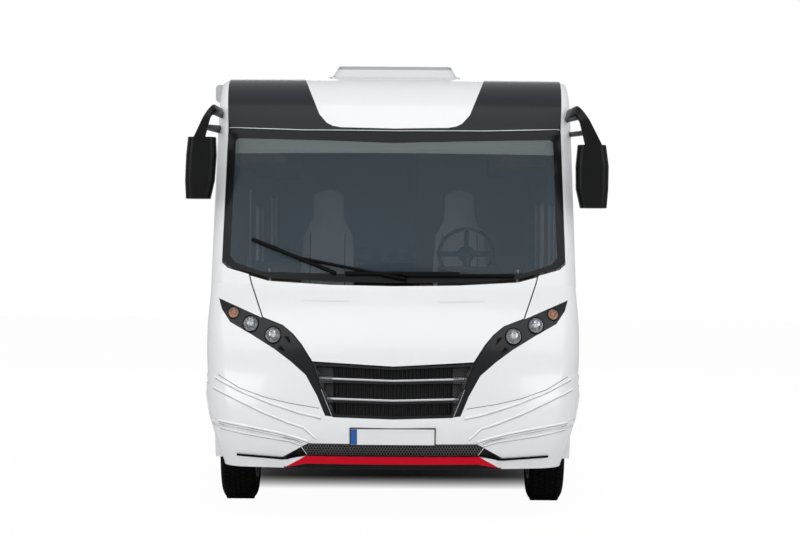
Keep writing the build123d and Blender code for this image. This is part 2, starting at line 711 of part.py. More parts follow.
knuckle_z = (258.0, 477.0)
arm_t = 30.0
pin_r = 12.0
spindle_r = 30.0
bearing_gap = 1.0
spindle_end = 1075.0
with BuildPart() as axles:
    for side in (-1, 1):
        for low, root in ((knuckle_z[0] - 3 - arm_t, 380), (knuckle_z[1] + 3, rail_x[1])):
            x = (root, kingpin_x) if side > 0 else (-kingpin_x, -root)
            slab(x, (back(axle_front - 30), back(axle_front + 30)), (low, low + arm_t))
            with Locations((side * kingpin_x, back(axle_front), low + arm_t / 2)):
                Cylinder(32, arm_t)
        x = (380, 420) if side > 0 else (-420, -380)
        slab(x, (back(axle_front - 50), back(axle_front + 50)), (225, 480))
        x = (380, 430) if side > 0 else (-430, -380)
        slab(x, (back(axle_front - 50), back(axle_front + 50)), (440, 480))
    slab((-380, 380), (back(axle_front - 50), back(axle_front + 50)), (225, 285))
    for side in (-1, 1):
        with Locations((side * kingpin_x, back(axle_front), tyre_r)):
            Cylinder(pin_r + bearing_gap, 400, mode=Mode.SUBTRACT)
    add(bar((-900, back(axle_rear), tyre_r), (900, back(axle_rear), tyre_r), 45))
    add(bar((-spindle_end, back(axle_rear), tyre_r), (spindle_end, back(axle_rear), tyre_r), spindle_r))
    for side in (-1, 1):
        x = rail_x if side > 0 else (-rail_x[1], -rail_x[0])
        slab(x, (back(axle_rear - 50), back(axle_rear + 50)), (380, rail_z[0]))
        add(bar((side * 900, back(axle_rear), tyre_r), (side * 940, back(axle_rear), tyre_r), 140))
save(axles.part, "axles")

for side, name in ((1, "knuckle_left"), (-1, "knuckle_right")):
    with BuildPart() as knuckle:
        with Locations((side * kingpin_x, back(axle_front), sum(knuckle_z) / 2)):
            Box(50, 80, knuckle_z[1] - knuckle_z[0])
        with Locations((side * kingpin_x, back(axle_front), sum(knuckle_z) / 2)):
            Cylinder(pin_r, knuckle_z[1] - knuckle_z[0] + 2 * (arm_t + 3))
        add(
            bar(
                (side * kingpin_x, back(axle_front), tyre_r),
                (side * spindle_end, back(axle_front), tyre_r),
                spindle_r,
            )
        )
    save(knuckle.part, name)

# Wheels: a rim and a tyre about the X axis, the open face towards +X.
bead_r = 208.0
flange_r = 222.0
RIM_PROFILE = [(-108, 198), (-108, flange_r), (-100, flange_r), (-100, bead_r), (100, bead_r), (100, flange_r)]
RIM_PROFILE += [(108, flange_r), (108, 198), (62, 188), (48, 70), (80, 62), (80, 20), (73, 20)]
RIM_PROFILE += [(73, 31), (-43, 31), (-43, 150), (-25, 150), (-25, 60), (24, 70), (38, 180), (-60, 198)]
TYRE_PROFILE = [(78, tyre_r), (112.5, 322), (98, bead_r), (-98, bead_r), (-112.5, 322), (-78, tyre_r)]
bore_sides = 48               # the tyre's hidden bore is a polygon just clear of the rim
bead_gap = 2.0
window_count = 8
WINDOW = [(104, -15), (104, 15), (162, 30), (162, -30)]
with BuildPart() as rim_form:
    with BuildSketch(Plane.XY):
        Polygon(*RIM_PROFILE, align=None)
    revolve(axis=Axis.X)
    with BuildSketch(Plane.YZ.offset(10)):
        with PolarLocations(0, window_count):
            Polygon(*WINDOW, align=None)
    extrude(amount=60, mode=Mode.SUBTRACT)
with BuildPart() as tyre_form:
    with BuildSketch(Plane.XY):
        Polygon(*TYRE_PROFILE, align=None)
    revolve(axis=Axis.X)
    with BuildSketch(Plane.YZ.offset(-120)):
        RegularPolygon(bead_r + bead_gap, bore_sides, major_radius=False)
    extrude(amount=240, mode=Mode.SUBTRACT)
for corner, side, setback in (
    ("front_left", 1, axle_front),
    ("front_right", -1, axle_front),
    ("rear_left", 1, axle_rear),
    ("rear_right", -1, axle_rear),
):
    place = Pos(side * track_half, back(setback), tyre_r)
    rim = rim_form.part if side > 0 else mirror(rim_form.part, about=Plane.YZ)
    save(place * rim, "rim_" + corner)
    save(place * tyre_form.part, "tyre_" + corner)

# Engine, radiator and gearbox mass, and the tanks under the floor.
with BuildPart() as engine:
    slab((-380, 340), (back(330), back(715)), (330, 1000))
    slab((-400, 400), (back(225), back(265)), (430, 900))
    slab((-60, 60), (back(265), back(330)), (600, 700))
    slab((340, rail_x[0]), (back(480), back(560)), (480, 540))
    slab((-rail_x[0], -380), (back(480), back(560)), (480, 540))
save(engine.part, "engine")

with BuildPart() as tanks:
    slab((-400, 400), (back(1700), back(2200)), (370, 560))
    slab((-400, 400), (back(2500), back(3200)), (370, 560))
    slab((540, 1080), (back(3000), back(3600)), (370, 560))
save(tanks.part, "tanks")

# ---------------------------------------------------------------- doors and windows
WINDOW_IN_DOOR = {
    "driver_door": (1700, 2200, 1350, 2000, 50),
    "entry_door": (2900, 3280, 1500, 2150, 50),
}
pane_in = 14.0                # a pane starts this far outside the inner wall face
pane_proud = 8.0              # and stands proud of the wall
for opening_name, side, front, rear, low, high, r in WALL_OPENINGS:
    if "window" in opening_name:
        continue
    name = opening_name.replace("garage", "garage_door")
    with BuildPart() as door:
        add(opening(opening_name, gap, wall_in, wall_half_width))
        if opening_name in WINDOW_IN_DOOR:
            glass_front, glass_rear, glass_low, glass_high, glass_r = WINDOW_IN_DOOR[opening_name]
            with BuildSketch(side_view(wall_in if side > 0 else -wall_half_width)) as pane:
                upright(glass_front, glass_rear, glass_low, glass_high, glass_r)
            extrude(amount=wall_t, mode=Mode.SUBTRACT)
        add(hinge_leaves(opening_name, 1))
        add(hinge_leaves(opening_name, 1, 1), mode=Mode.SUBTRACT)
        add(door_handle(opening_name))
    save(door.part, name)
    if opening_name in WINDOW_IN_DOOR:
        with BuildPart() as door_window:
            start = wall_in + pane_in if side > 0 else -wall_half_width - pane_proud
            with BuildSketch(side_view(start)):
                upright(glass_front, glass_rear, glass_low, glass_high, glass_r)
            extrude(amount=wall_t - pane_in + pane_proud)
        save(door_window.part, name + "_window")

with BuildPart() as side_windows:
    for opening_name, side, front, rear, low, high, r in WALL_OPENINGS:
        if "window" in opening_name:
            add(opening(opening_name, 0, wall_in + pane_in, wall_half_width + pane_proud))
    with BuildPart() as cab_glass:
        add(glass_shell.part)
        add(cab_window_cut.part, mode=Mode.INTERSECT)
    add(cab_glass.part)
save(side_windows.part, "side_windows")

# ---------------------------------------------------------------- roof and outside fittings
roof_light_front = 1500.0
roof_light_len = 620.0
LIGHT_STEPS = [(910, roof_z, roof_z + 34, 0), (872, roof_z + 34, roof_z + 92, 33), (806, roof_z + 92, 2945, 12)]
with BuildPart() as roof_light:
    for width, low, high, taper in LIGHT_STEPS:
        inset = (910 - width) / 2
        with BuildSketch(Plane.XY.offset(low)) as foot:
            with Locations((0, back(roof_light_front + roof_light_len / 2))):
                RectangleRounded(width, roof_light_len - 2 * inset, 40)
        with BuildSketch(Plane.XY.offset(high)) as head:
            with Locations((0, back(roof_light_front + roof_light_len / 2))):
                RectangleRounded(width - 2 * taper, roof_light_len - 2 * inset - 2 * taper, 40)
        loft(ruled=True)
save(roof_light.part, "roof_light")

# Roof vents: a flange, a domed cover and its shadow gap.
with BuildPart() as roof_vents:
    for setback, width, height in ((2900, 420, 90), (4600, 420, 90), (6100, 720, 110)):
        for low, high, size, taper in ((0, 22, width, 4), (22, 34, width - 50, 0), (34, height, width - 16, 24)):
            with BuildSketch(Plane.XY.offset(roof_z + low)):
                with Locations((0, back(setback))):
                    RectangleRounded(size, size, 30)
            with BuildSketch(Plane.XY.offset(roof_z + high)):
                with Locations((0, back(setback))):
                    RectangleRounded(size - 2 * taper, size - 2 * taper, 24)
            loft(ruled=True)
save(roof_vents.part, "roof_vents")

# Roller awning in its cassette: a rounded case between two end caps.
AWNING_SECTION = [(1166, 2706), (1235, 2706), (1262, 2730), (1268, 2775), (1250, 2812), (1205, 2828), (1166, 2828)]
with BuildPart() as awning:
    with BuildSketch(front_view(5740)):
        Polygon(*[(-x, z) for x, z in AWNING_SECTION], align=None)
    extrude(amount=3980)
    with BuildSketch(front_view(1760)):
        with Locations((-1217, 2767)):
            RectangleRounded(100, 126, 30)
    extrude(amount=18)
    with BuildSketch(front_view(5758)):
        with Locations((-1217, 2767)):
            RectangleRounded(100, 126, 30)
    extrude(amount=18)
save(awning.part, "awning")

# Mirror heads by plan sections: side, then (height, inner x, outer x); and their arms.
MIRROR_HEADS = [
    (-1, [(1982, 1192, 1350), (2100, 1166, 1356), (2265, 1155, 1350), (2381, 1160, 1338)]),
    (1, [(1937, 1208, 1378), (2060, 1180, 1388), (2210, 1178, 1390), (2345, 1190, 1372)]),
]
mirror_front = 622.0
mirror_rear = 752.0
# Side, middle of the upright, width of the arm, top, foot, height of the strut.
MIRROR_ARMS = [(-1, 1268, 75, 2568, 2370, 2462), (1, 1294, 112, 2560, 2335, 2440)]
arm_depth = 46.0
mirror_root = 1160.0
with BuildPart() as mirrors:
    for side, sections in MIRROR_HEADS:
        for low, high in zip(sections, sections[1:]):
            for z, inner, outer in (low, high):
                with BuildSketch(Plane.XY.offset(z)):
                    with Locations((side * (inner + outer) / 2, back((mirror_front + mirror_rear) / 2))):
                        RectangleRounded(outer - inner, mirror_rear - mirror_front, 45)
            loft(ruled=True)
    for side, middle, width, top, foot, strut_z in MIRROR_ARMS:
        start = (side * mirror_root, back(860), top)
        elbow = (side * middle, back(705), top)
        end = (side * middle, back(690), foot)
        with BuildLine():
            arm_line = FilletPolyline(start, elbow, end, radius=75)
        with BuildSketch(Plane(origin=end, x_dir=(1, 0, 0), z_dir=(arm_line % 1) * -1)):
            RectangleRounded(width, arm_depth, 12)
        sweep(path=arm_line)
        add(bar((side * (mirror_root - 10), back(850), strut_z), (side * middle, back(700), strut_z - 12), 17, 8))
    add(outer_form, mode=Mode.SUBTRACT)
save(mirrors.part, "mirrors")

# Wipers: pivot, where the arm holds the blade, the blade's two ends; then the arm's and the blade's radius.
WIPERS = [
    ((76, 402, 1466), (-625, 502, 1602), (-911, 605, 1718), (-367, 432, 1502)),
    ((761, 486, 1490), (59, 410, 1492), (-306, 426, 1502), (417, 434, 1502)),
]
arm_r = 8.0
blade_r = 9.0
with BuildPart() as wiper_form:
    for pivot, clip, tip, heel in WIPERS:
        pivot, clip, tip, heel = [(x, back(setback), z) for x, setback, z in (pivot, clip, tip, heel)]
        add(bar(pivot, clip, arm_r, 6))
        add(bar(tip, heel, blade_r, 6))
        add(bar((pivot[0], pivot[1] - 2, pivot[2]), (pivot[0], pivot[1] + 60, pivot[2]), 12, 12))
    add(outer_form, mode=Mode.SUBTRACT)
save(wiper_form.part, "wipers")

# A lamp is a clear lens on the skin, and a lamp unit behind it in the pod's bore.
lens_gap = 0.3
unit_front = 42.0
with BuildPart() as front_lamps:
    add(lamp_rods(lens_gap, -200, lamp_depth))
    add(front_block(0, False), mode=Mode.INTERSECT)
    add(front_block(glass_t, True), mode=Mode.SUBTRACT)
    add(lamp_rods(lens_gap, unit_front, lamp_depth))
save(front_lamps.part, "front_lamps")

with BuildPart() as number_plates:
    with Locations(plate_place):
        Box(plate_w, 8, plate_h)
    with Locations((0, back(rear_wall_back + 2), 900)):
        Box(plate_w, 4, plate_h)
save(number_plates.part, "number_plates")

# ---------------------------------------------------------------- inside
with BuildPart() as dashboard:
    add(prism_along([(640, dash_foot + 3), (1350, dash_foot + 3), (1350, 1300), (700, 1400), (640, 1400)], -1080, 1080))
    add(prism_along([(1080, 1290), (1320, 1290), (1325, 1500), (1240, 1560), (1080, 1440)], 300, 700))
    add(prism_along([(1150, 1060), (1350, 1060), (1350, 1245), (1150, 1245)], -230, 230))
    add(bar((500, back(1214), 1530), (500, back(1395), 1614.6), 28))
    fillet(dashboard.edges().filter_by(Axis.X).group_by(Axis.Z)[-1], 20)
save(dashboard.part, "dashboard")

wheel_centre = (500.0, 1450.0, 1640.0)
wheel_tilt = 25.0             # the wheel's face looks back and this far upwards
wheel_rim_r = 188.0
wheel_grip = 13.0
with BuildPart() as wheel_flat:
    with BuildSketch(Plane.XZ):
        with Locations((wheel_rim_r, 0)):
            RegularPolygon(wheel_grip, 6)
    revolve(axis=Axis.Z)
    Box(2 * wheel_rim_r, 34, 14)
    with Locations((0, -wheel_rim_r / 2, 0)):
        Box(34, wheel_rim_r, 14)
    Cylinder(58, 30)
    with Locations((0, 0, -35)):
        Cylinder(14, 50)
wheel_place = Location((wheel_centre[0], back(wheel_centre[1]), wheel_centre[2]), (wheel_tilt - 90, 0, 0))
save(wheel_place * wheel_flat.part, "steering_wheel")

# Cab seats: swivel bases, and soft seats with a cushion and a back that narrows into the head support.
seat_x = 480.0
BACK_SECTIONS = [(1180, 400, 120), (1480, 470, 130), (1780, 430, 110), (1900, 300, 100), (2150, 250, 90)]
with BuildPart() as seat_bases:
    for x in (-seat_x, seat_x):
        with BuildSketch(Plane.XY.offset(floor_z)):
            with Locations((x, back(1880))):
                RectangleRounded(400, 400, 40)
        with BuildSketch(Plane.XY.offset(1010)):
            with Locations((x, back(1880))):
                RectangleRounded(340, 360, 40)
        loft(ruled=True)
save(seat_bases.part, "seat_bases")
with BuildPart() as cab_seats:
    for x in (-seat_x, seat_x):
        with BuildSketch(Plane.XY.offset(1010)):
            with Locations((x, back(1840))):
                RectangleRounded(480, 500, 60)
        extrude(amount=170)
        for low, high in zip(BACK_SECTIONS, BACK_SECTIONS[1:]):
            for z, width, depth in (low, high):
                lean = (z - 1180) * 0.2
                with BuildSketch(Plane.XY.offset(z)):
                    with Locations((x, back(2030 + lean))):
                        RectangleRounded(width, depth, 40)
            loft(ruled=True)
save(cab_seats.part, "cab_seats")

with BuildPart() as furniture:
    slab((-wall_in, -530), (back(3480), back(4350)), (floor_z, 1580))
    slab((-wall_in, -780), (back(2150), back(4350)), (2300, roof_foot))
    slab((175, wall_in), (back(4000), back(4040)), (810, roof_foot))
    slab((175, housing_x), (back(4000), back(4040)), (floor_z, 810))
    slab((620, wall_in), (back(2700), back(3500)), (floor_z, 1060))
    slab((780, wall_in), (back(2400), back(4000)), (2300, roof_foot))
    slab((200, 620), (back(2760), back(3440)), (1395, 1420))
    with Locations((400, back(3100), (floor_z + 1395) / 2)):
        Cylinder(35, 1395 - floor_z)
save(furniture.part, "furniture")

with BuildPart() as bench_cushions:
    slab((625, wall_in - 8), (back(2705), back(3495)), (1060, 1170))
    slab((wall_in - 120, wall_in - 8), (back(2705), back(3495)), (1172, 1440))
save(bench_cushions.part, "bench_cushions")

with BuildPart() as rear_bed:
    slab((-wall_in, wall_in), (back(5400), back(wall_back)), (1560, 1600))
    slab((-wall_in, wall_in), (back(5400), back(5430)), (floor_z, 1560))
save(rear_bed.part, "rear_bed")

with BuildPart() as mattress:
    slab((-wall_in + 10, wall_in - 10), (back(5410), back(wall_back - 10)), (1600, 1720))
save(mattress.part, "mattress")

with BuildPart() as screen_blind:
    slab((-1000, 1000), (back(960), back(1000)), (2330, 2400))
save(screen_blind.part, "screen_blind")
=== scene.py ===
import math

import bmesh
import bpy
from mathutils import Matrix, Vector
from mathutils.bvhtree import BVHTree


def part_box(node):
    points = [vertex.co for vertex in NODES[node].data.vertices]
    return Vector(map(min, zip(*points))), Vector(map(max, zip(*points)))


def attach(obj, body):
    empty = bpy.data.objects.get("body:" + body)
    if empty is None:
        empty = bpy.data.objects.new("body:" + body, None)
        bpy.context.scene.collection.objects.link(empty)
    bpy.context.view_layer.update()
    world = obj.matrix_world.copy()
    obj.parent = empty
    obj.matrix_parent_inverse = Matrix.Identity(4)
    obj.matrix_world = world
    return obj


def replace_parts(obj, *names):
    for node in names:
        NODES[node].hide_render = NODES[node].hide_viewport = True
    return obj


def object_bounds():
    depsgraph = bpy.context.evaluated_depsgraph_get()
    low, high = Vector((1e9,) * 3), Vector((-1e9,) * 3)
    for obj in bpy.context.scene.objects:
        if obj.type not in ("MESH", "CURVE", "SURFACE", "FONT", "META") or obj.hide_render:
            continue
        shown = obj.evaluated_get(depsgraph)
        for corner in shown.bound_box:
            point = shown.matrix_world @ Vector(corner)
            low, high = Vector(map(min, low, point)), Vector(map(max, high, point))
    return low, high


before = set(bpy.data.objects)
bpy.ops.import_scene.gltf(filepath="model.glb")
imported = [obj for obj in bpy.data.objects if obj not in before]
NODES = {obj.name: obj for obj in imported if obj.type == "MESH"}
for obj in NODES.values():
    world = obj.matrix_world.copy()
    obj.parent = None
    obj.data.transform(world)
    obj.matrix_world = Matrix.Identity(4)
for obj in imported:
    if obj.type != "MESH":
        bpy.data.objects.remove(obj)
cad_low, cad_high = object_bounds()

# ---------------------------------------------------------------- studio
# A pale floor under one large overhead soft box, with weaker ones at the front corners and behind.
# The camera stands eleven metres in front of the nose, at chest height, and looks level.
NOSE = cad_low.y
CAMERA_DISTANCE = 11.0
CAMERA_HEIGHT = 1.547
CAMERA_ROLL = math.radians(-0.37)
CAMERA_SHIFT = 0.0079
FOCAL_LENGTH = 81.0
SENSOR_WIDTH = 36.0
FLOOR_HALF = 40.0
SHADOW_HALF_X = 1.08          # the floor glows outside this patch, for camera rays only
SHADOW_HALF_Y = 1.15
SIDE_FADE = 8.0               # the glow's rise in each metre sideways
END_FADE = 0.8                # and the metres that it takes lengthwise
FLOOR_GLOW = 0.97
STUDIO_WHITE = (1.0, 1.0, 1.0, 1.0)
SIDES = (("left", 1), ("right", -1))

scene = bpy.context.scene
scene.view_settings.view_transform = "Standard"
lens = bpy.data.cameras.new("camera")
lens.lens = FOCAL_LENGTH
lens.sensor_width = SENSOR_WIDTH
lens.shift_x = CAMERA_SHIFT
lens.clip_end = 200.0
camera = bpy.data.objects.new("camera", lens)
camera.location = (0.0, NOSE - CAMERA_DISTANCE, CAMERA_HEIGHT)
camera.rotation_euler = (math.radians(90.0), CAMERA_ROLL, 0.0)
scene.collection.objects.link(camera)
scene.camera = camera


def soft_box(name, place, aim, size, power):
    """An area lamp at a place, turned to face the point that it lights."""
    light = bpy.data.lights.new(name, "AREA")
    light.shape = "RECTANGLE"
    light.size, light.size_y = size
    light.energy = power
    lamp = bpy.data.objects.new(name, light)
    lamp.location = place
    lamp.rotation_euler = (Vector(aim) - Vector(place)).to_track_quat("-Z", "Y").to_euler()
    scene.collection.objects.link(lamp)


soft_box("overhead", (0.0, -6.5, 8.0), (0.0, -2.8, 1.2), (13.0, 5.0), 325.0)
soft_box("front_left", (8.0, -12.5, 4.6), (0.0, -3.0, 1.3), (4.0, 4.0), 190.0)
soft_box("front_right", (-8.0, -12.5, 4.6), (0.0, -3.0, 1.3), (4.0, 4.0), 205.0)
soft_box("rear", (0.0, 11.0, 5.0), (0.0, 2.0, 1.3), (8.0, 5.0), 240.0)


class Wire:
    """An output socket that Python arithmetic works on: each operator adds one Math node."""

    def __init__(self, owner, socket):
        self.owner = owner
        self.socket = socket

    def math(self, operation, *values):
        return self.owner.node("ShaderNodeMath", {"operation": operation}, *values)

    def __add__(self, other):
        return self.math("ADD", self, other)

    def __sub__(self, other):
        return self.math("SUBTRACT", self, other)

    def __rsub__(self, other):
        return self.math("SUBTRACT", other, self)

    def __mul__(self, other):
        return self.math("MULTIPLY", self, other)

    def __truediv__(self, other):
        return self.math("DIVIDE", self, other)

    def __gt__(self, other):
        return self.math("GREATER_THAN", self, other)

    def __lt__(self, other):
        return self.math("LESS_THAN", self, other)

    def __abs__(self):
        return self.math("ABSOLUTE", self)

    __radd__ = __add__
    __rmul__ = __mul__


class Nodes:
    """A node tree whose nodes all come from one method."""

    def __init__(self, tree):
        self.tree = tree

    def node(self, kind, settings=None, *values, out=0, **named):
        """A node of a kind: its settings first, then its inputs by position or by name."""
        made = self.tree.nodes.new(kind)
        for setting, value in (settings or {}).items():
            setattr(made, setting, value)
        by_name = [(name.replace("_", " "), value) for name, value in named.items()]
        for key, value in list(enumerate(values)) + by_name:
            self.feed(made.inputs[key], value)
        return Wire(self, made.outputs[out])

    def feed(self, socket, value):
        """Links a wire to an input socket, or sets a plain value on it."""
        if isinstance(value, Wire):
            self.tree.links.new(value.socket, socket)
        else:
            socket.default_value = value


class Finish(Nodes):
    """One material. What is the same all over goes straight on its Principled shader."""

    def __init__(self, name, color, roughness, **constants):
        self.material = bpy.data.materials.new(name)
        self.material.use_nodes = True
        super().__init__(self.material.node_tree)
        self.shader = self.tree.nodes["Principled BSDF"]
        self.shader.inputs["Base Color"].default_value = (*color, 1.0)
        self.shader.inputs["Roughness"].default_value = roughness
        for socket, value in constants.items():
            key = socket.replace("_", " ").title().replace("Ior", "IOR")
            self.shader.inputs[key].default_value = value

    def place(self):
        """Object coordinates, in metres."""
        return self.node("ShaderNodeTexCoord", None, out=3)

    def axis(self, index):
        """One of the object coordinates: 0 across, 1 along, 2 up."""
        return self.node("ShaderNodeSeparateXYZ", None, self.place(), out=index)

    def noise(self, scale, detail=3.0, stretch=(1.0, 1.0, 1.0)):
        """Cloudy noise from 0 to 1, so many features in a metre, squeezed along an axis if asked."""
        spread = self.node("ShaderNodeMapping", None, self.place(), Scale=stretch)
        return self.node("ShaderNodeTexNoise", None, Vector=spread, Scale=scale, Detail=detail)

    def waves(self, pitch, direction, profile="SIN"):
        """Parallel ridges, one each pitch metres along an axis."""
        kind = {"wave_type": "BANDS", "bands_direction": direction, "wave_profile": profile}
        scale = math.tau / 20 / pitch
        return self.node("ShaderNodeTexWave", kind, Vector=self.place(), Scale=scale, Distortion=0.0)

    def blend(self, mask, first, second):
        """A colour that goes from first to second with the mask."""
        mix = self.tree.nodes.new("ShaderNodeMix")
        mix.data_type = "RGBA"
        for key, value in ((0, mask), (6, first), (7, second)):
            self.feed(mix.inputs[key], (*value, 1.0) if isinstance(value, tuple) else value)
        return Wire(self, mix.outputs[2])

    def set(self, socket, wire):
        self.tree.links.new(wire.socket, self.shader.inputs[socket])

    def shade(self, mask, first, second):
        """Makes the base colour go from first to second with the mask."""
        self.set("Base Color", self.blend(mask, first, second))

    def gloss(self, low, swing, *noise):
        """Makes the roughness drift from low upwards by swing."""
        self.set("Roughness", low + self.noise(*noise) * swing)

    def grain(self, strength, distance, *noise):
        """Gives the surface a fine cloudy relief."""
        self.bump(self.noise(*noise), strength, distance)

    def bump(self, height, strength, distance):
        self.set(
            "Normal", self.node("ShaderNodeBump", None, Height=height, Strength=strength, Distance=distance)
        )


def painted(name, color, roughness, **constants):
    """A sprayed or moulded finish: a faint drift in shade, uneven gloss and a little surface ripple."""
    finish = Finish(name, color, roughness, **constants)
    drift = finish.noise(1.3)
    fine = finish.noise(55.0, 4.0)
    darker = tuple(channel * 0.94 for channel in color)
    finish.shade(drift, darker, color)
    finish.set("Roughness", roughness * 0.8 + fine * (roughness * 0.4))
    finish.bump(fine, 0.05, 0.002)
    return finish


def dress(finish, *names):
    """Gives CAD nodes their finish."""
    for name in names:
        mesh = NODES[name].data
        mesh.materials.clear()
        mesh.materials.append(finish.material)


def piece(name, mesh, finish, body="body"):
    """Puts a finished mesh in the scene as a piece that rides on a body."""
    made = bpy.data.objects.new(name, mesh)
    scene.collection.objects.link(made)
    if not mesh.materials:
        mesh.materials.append(finish.material)
    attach(made, body)
    return made


def plain_mesh(name, points, faces, smooth=False):
    """A mesh with its doubles merged and its faces pointing outwards."""
    mesh = bpy.data.meshes.new(name)
    mesh.from_pydata([tuple(point) for point in points], [], faces)
    work = bmesh.new()
    work.from_mesh(mesh)
    bmesh.ops.remove_doubles(work, verts=work.verts, dist=1e-6)
    bmesh.ops.recalc_face_normals(work, faces=work.faces)
    work.to_mesh(mesh)
    work.free()
    mesh.polygons.foreach_set("use_smooth", [smooth] * len(mesh.polygons))
    return mesh


def ring_faces(rings, turn, closed=False):
    """Quads between rings of points, turn points to a ring; closed joins the last ring to the first."""
    faces = []
    for ring in range(rings if closed else rings - 1):
        low, high = ring * turn, (ring + 1) % rings * turn
        for step in range(turn):
            after = (step + 1) % turn
            faces.append((low + step, low + after, high + after, high + step))
    return faces


def fan_faces(turn):
    """Triangles from the first point to the ring of points after it."""
    return [(0, 1 + i, 1 + (i + 1) % turn) for i in range(turn)]


def squared(angle, power):
    """The cosine and sine of an angle, bulged towards a square."""
    return [math.copysign(abs(part) ** power, part) for part in (math.cos(angle), math.sin(angle))]


def thicken(made, thickness, offset):
    """Gives a sheet its thickness."""
    solid = made.modifiers.new("thick", "SOLIDIFY")
    solid.thickness = thickness
    solid.offset = offset


def finished_mesh(made):
    """The object's mesh with its modifiers applied, and the modifiers gone."""
    bpy.context.view_layer.update()
    seen = made.evaluated_get(bpy.context.evaluated_depsgraph_get())
    mesh = bpy.data.meshes.new_from_object(seen)
    made.modifiers.clear()
    return mesh


def tube(name, points, radius, finish, body="body", closed=False):
    """A round bead that follows points."""
    line = bpy.data.curves.new(name, "CURVE")
    line.dimensions = "3D"
    line.bevel_depth = radius
    line.bevel_resolution = 2
    line.use_fill_caps = True
    spline = line.splines.new("POLY")
    spline.points.add(len(points) - 1)
    spline.use_cyclic_u = closed
    for knot, point in zip(spline.points, points):
        knot.co = (*point, 1.0)
    holder = bpy.data.objects.new(name + "_line", line)
    scene.collection.objects.link(holder)
    mesh = finished_mesh(holder)
    bpy.data.objects.remove(holder)
    mesh.name = name
    mesh.polygons.foreach_set("use_smooth", [True] * len(mesh.polygons))
    return piece(name, mesh, finish, body)


def grow(name, places, shape, sizes, finish, body="body"):
    """Copies of a small shape at (point, turn) places, grown by Geometry Nodes and made one plain mesh."""
    seeds = bpy.data.meshes.new(name)
    seeds.from_pydata([tuple(point) for point, turn in places], [], [])
    turns = seeds.attributes.new("turn", "FLOAT_VECTOR", "POINT")
    turns.data.foreach_set("vector", [angle for point, turn in places for angle in turn])
    tree = bpy.data.node_groups.new(name, "GeometryNodeTree")
    growth = Nodes(tree)
    tree.interface.new_socket("Geometry", in_out="INPUT", socket_type="NodeSocketGeometry")
    keys = {}
    for size in sizes:
        keys[size] = tree.interface.new_socket(size, in_out="INPUT", socket_type="NodeSocketFloat").identifier
    tree.interface.new_socket("Geometry", in_out="OUTPUT", socket_type="NodeSocketGeometry")
    entry = tree.nodes.new("NodeGroupInput")
    given = {size: Wire(growth, entry.outputs[size]) for size in sizes}
    turn = growth.node("GeometryNodeInputNamedAttribute", {"data_type": "FLOAT_VECTOR"}, Name="turn")
    rotation = growth.node("FunctionNodeEulerToRotation", None, turn)
    copies = growth.node(
        "GeometryNodeInstanceOnPoints",
        None,
        Points=Wire(growth, entry.outputs["Geometry"]),
        Instance=shape(growth, given),
        Rotation=rotation,
    )
    whole = growth.node("GeometryNodeRealizeInstances", None, copies)
    coated = growth.node("GeometryNodeSetMaterial", None, whole, Material=finish.material)
    leave = tree.nodes.new("NodeGroupOutput")
    tree.links.new(coated.socket, leave.inputs[0])
    holder = bpy.data.objects.new(name + "_seeds", seeds)
    scene.collection.objects.link(holder)
    modifier = holder.modifiers.new("grow", "NODES")
    modifier.node_group = tree
    for size, value in sizes.items():
        modifier[keys[size]] = value
    mesh = finished_mesh(holder)
    bpy.data.objects.remove(holder)
    mesh.name = name
    return piece(name, mesh, finish, body)


def block_shape(growth, given):
    """A box, Width by Length by Height."""
    size = growth.node("ShaderNodeCombineXYZ", None, given["Width"], given["Length"], given["Height"])
    return growth.node("GeometryNodeMeshCube", None, Size=size)


def blocks(name, spots, size, finish, turn=(0.0, 0.0, 0.0)):
    """Equal boxes at spots, of a width, length and height."""
    sizes = dict(zip(("Width", "Length", "Height"), size))
    return grow(name, [(spot, turn) for spot in spots], block_shape, sizes, finish)


def hex_head(growth, given):
    """A hexagon bolt head or nut along Z."""
    return growth.node("GeometryNodeMeshCylinder", None, 6, Radius=given["Radius"], Depth=given["Height"])


def hex_heads(name, spots, radius, height, finish, body="body", turn=(0.0, math.pi / 2, 0.0)):
    """Bolt heads or nuts at spots, facing sideways unless turned."""
    sizes = {"Radius": radius, "Height": height}
    return grow(name, [(spot, turn) for spot in spots], hex_head, sizes, finish, body)


def hex_cell(growth, given):
    """One cell of a honeycomb: a hexagon of thin wire."""
    ring = growth.node("GeometryNodeCurvePrimitiveCircle", None, 6, Radius=given["Radius"])
    wire = growth.node("GeometryNodeCurvePrimitiveCircle", None, 4, Radius=given["Wire"])
    return growth.node("GeometryNodeCurveToMesh", None, ring, wire)


world = bpy.data.worlds.new("studio")
scene.world = world
world.use_nodes = True
sky = Nodes(world.node_tree)
daylight = sky.node("ShaderNodeBackground", None, (0.97, 0.975, 1.0, 1.0), 0.48)
shown = sky.node("ShaderNodeBackground", None, STUDIO_WHITE, 1.0)
camera_ray = sky.node("ShaderNodeLightPath", None, out=0)
glossy_ray = sky.node("ShaderNodeLightPath", None, out=3)
through_ray = sky.node("ShaderNodeLightPath", None, out=6)
seen_rays = camera_ray.math("MINIMUM", camera_ray + through_ray + glossy_ray * 0.15, 1.0)
sky_out = sky.node("ShaderNodeMixShader", None, seen_rays, daylight, shown)
sky.tree.links.new(sky_out.socket, world.node_tree.nodes["World Output"].inputs[0])

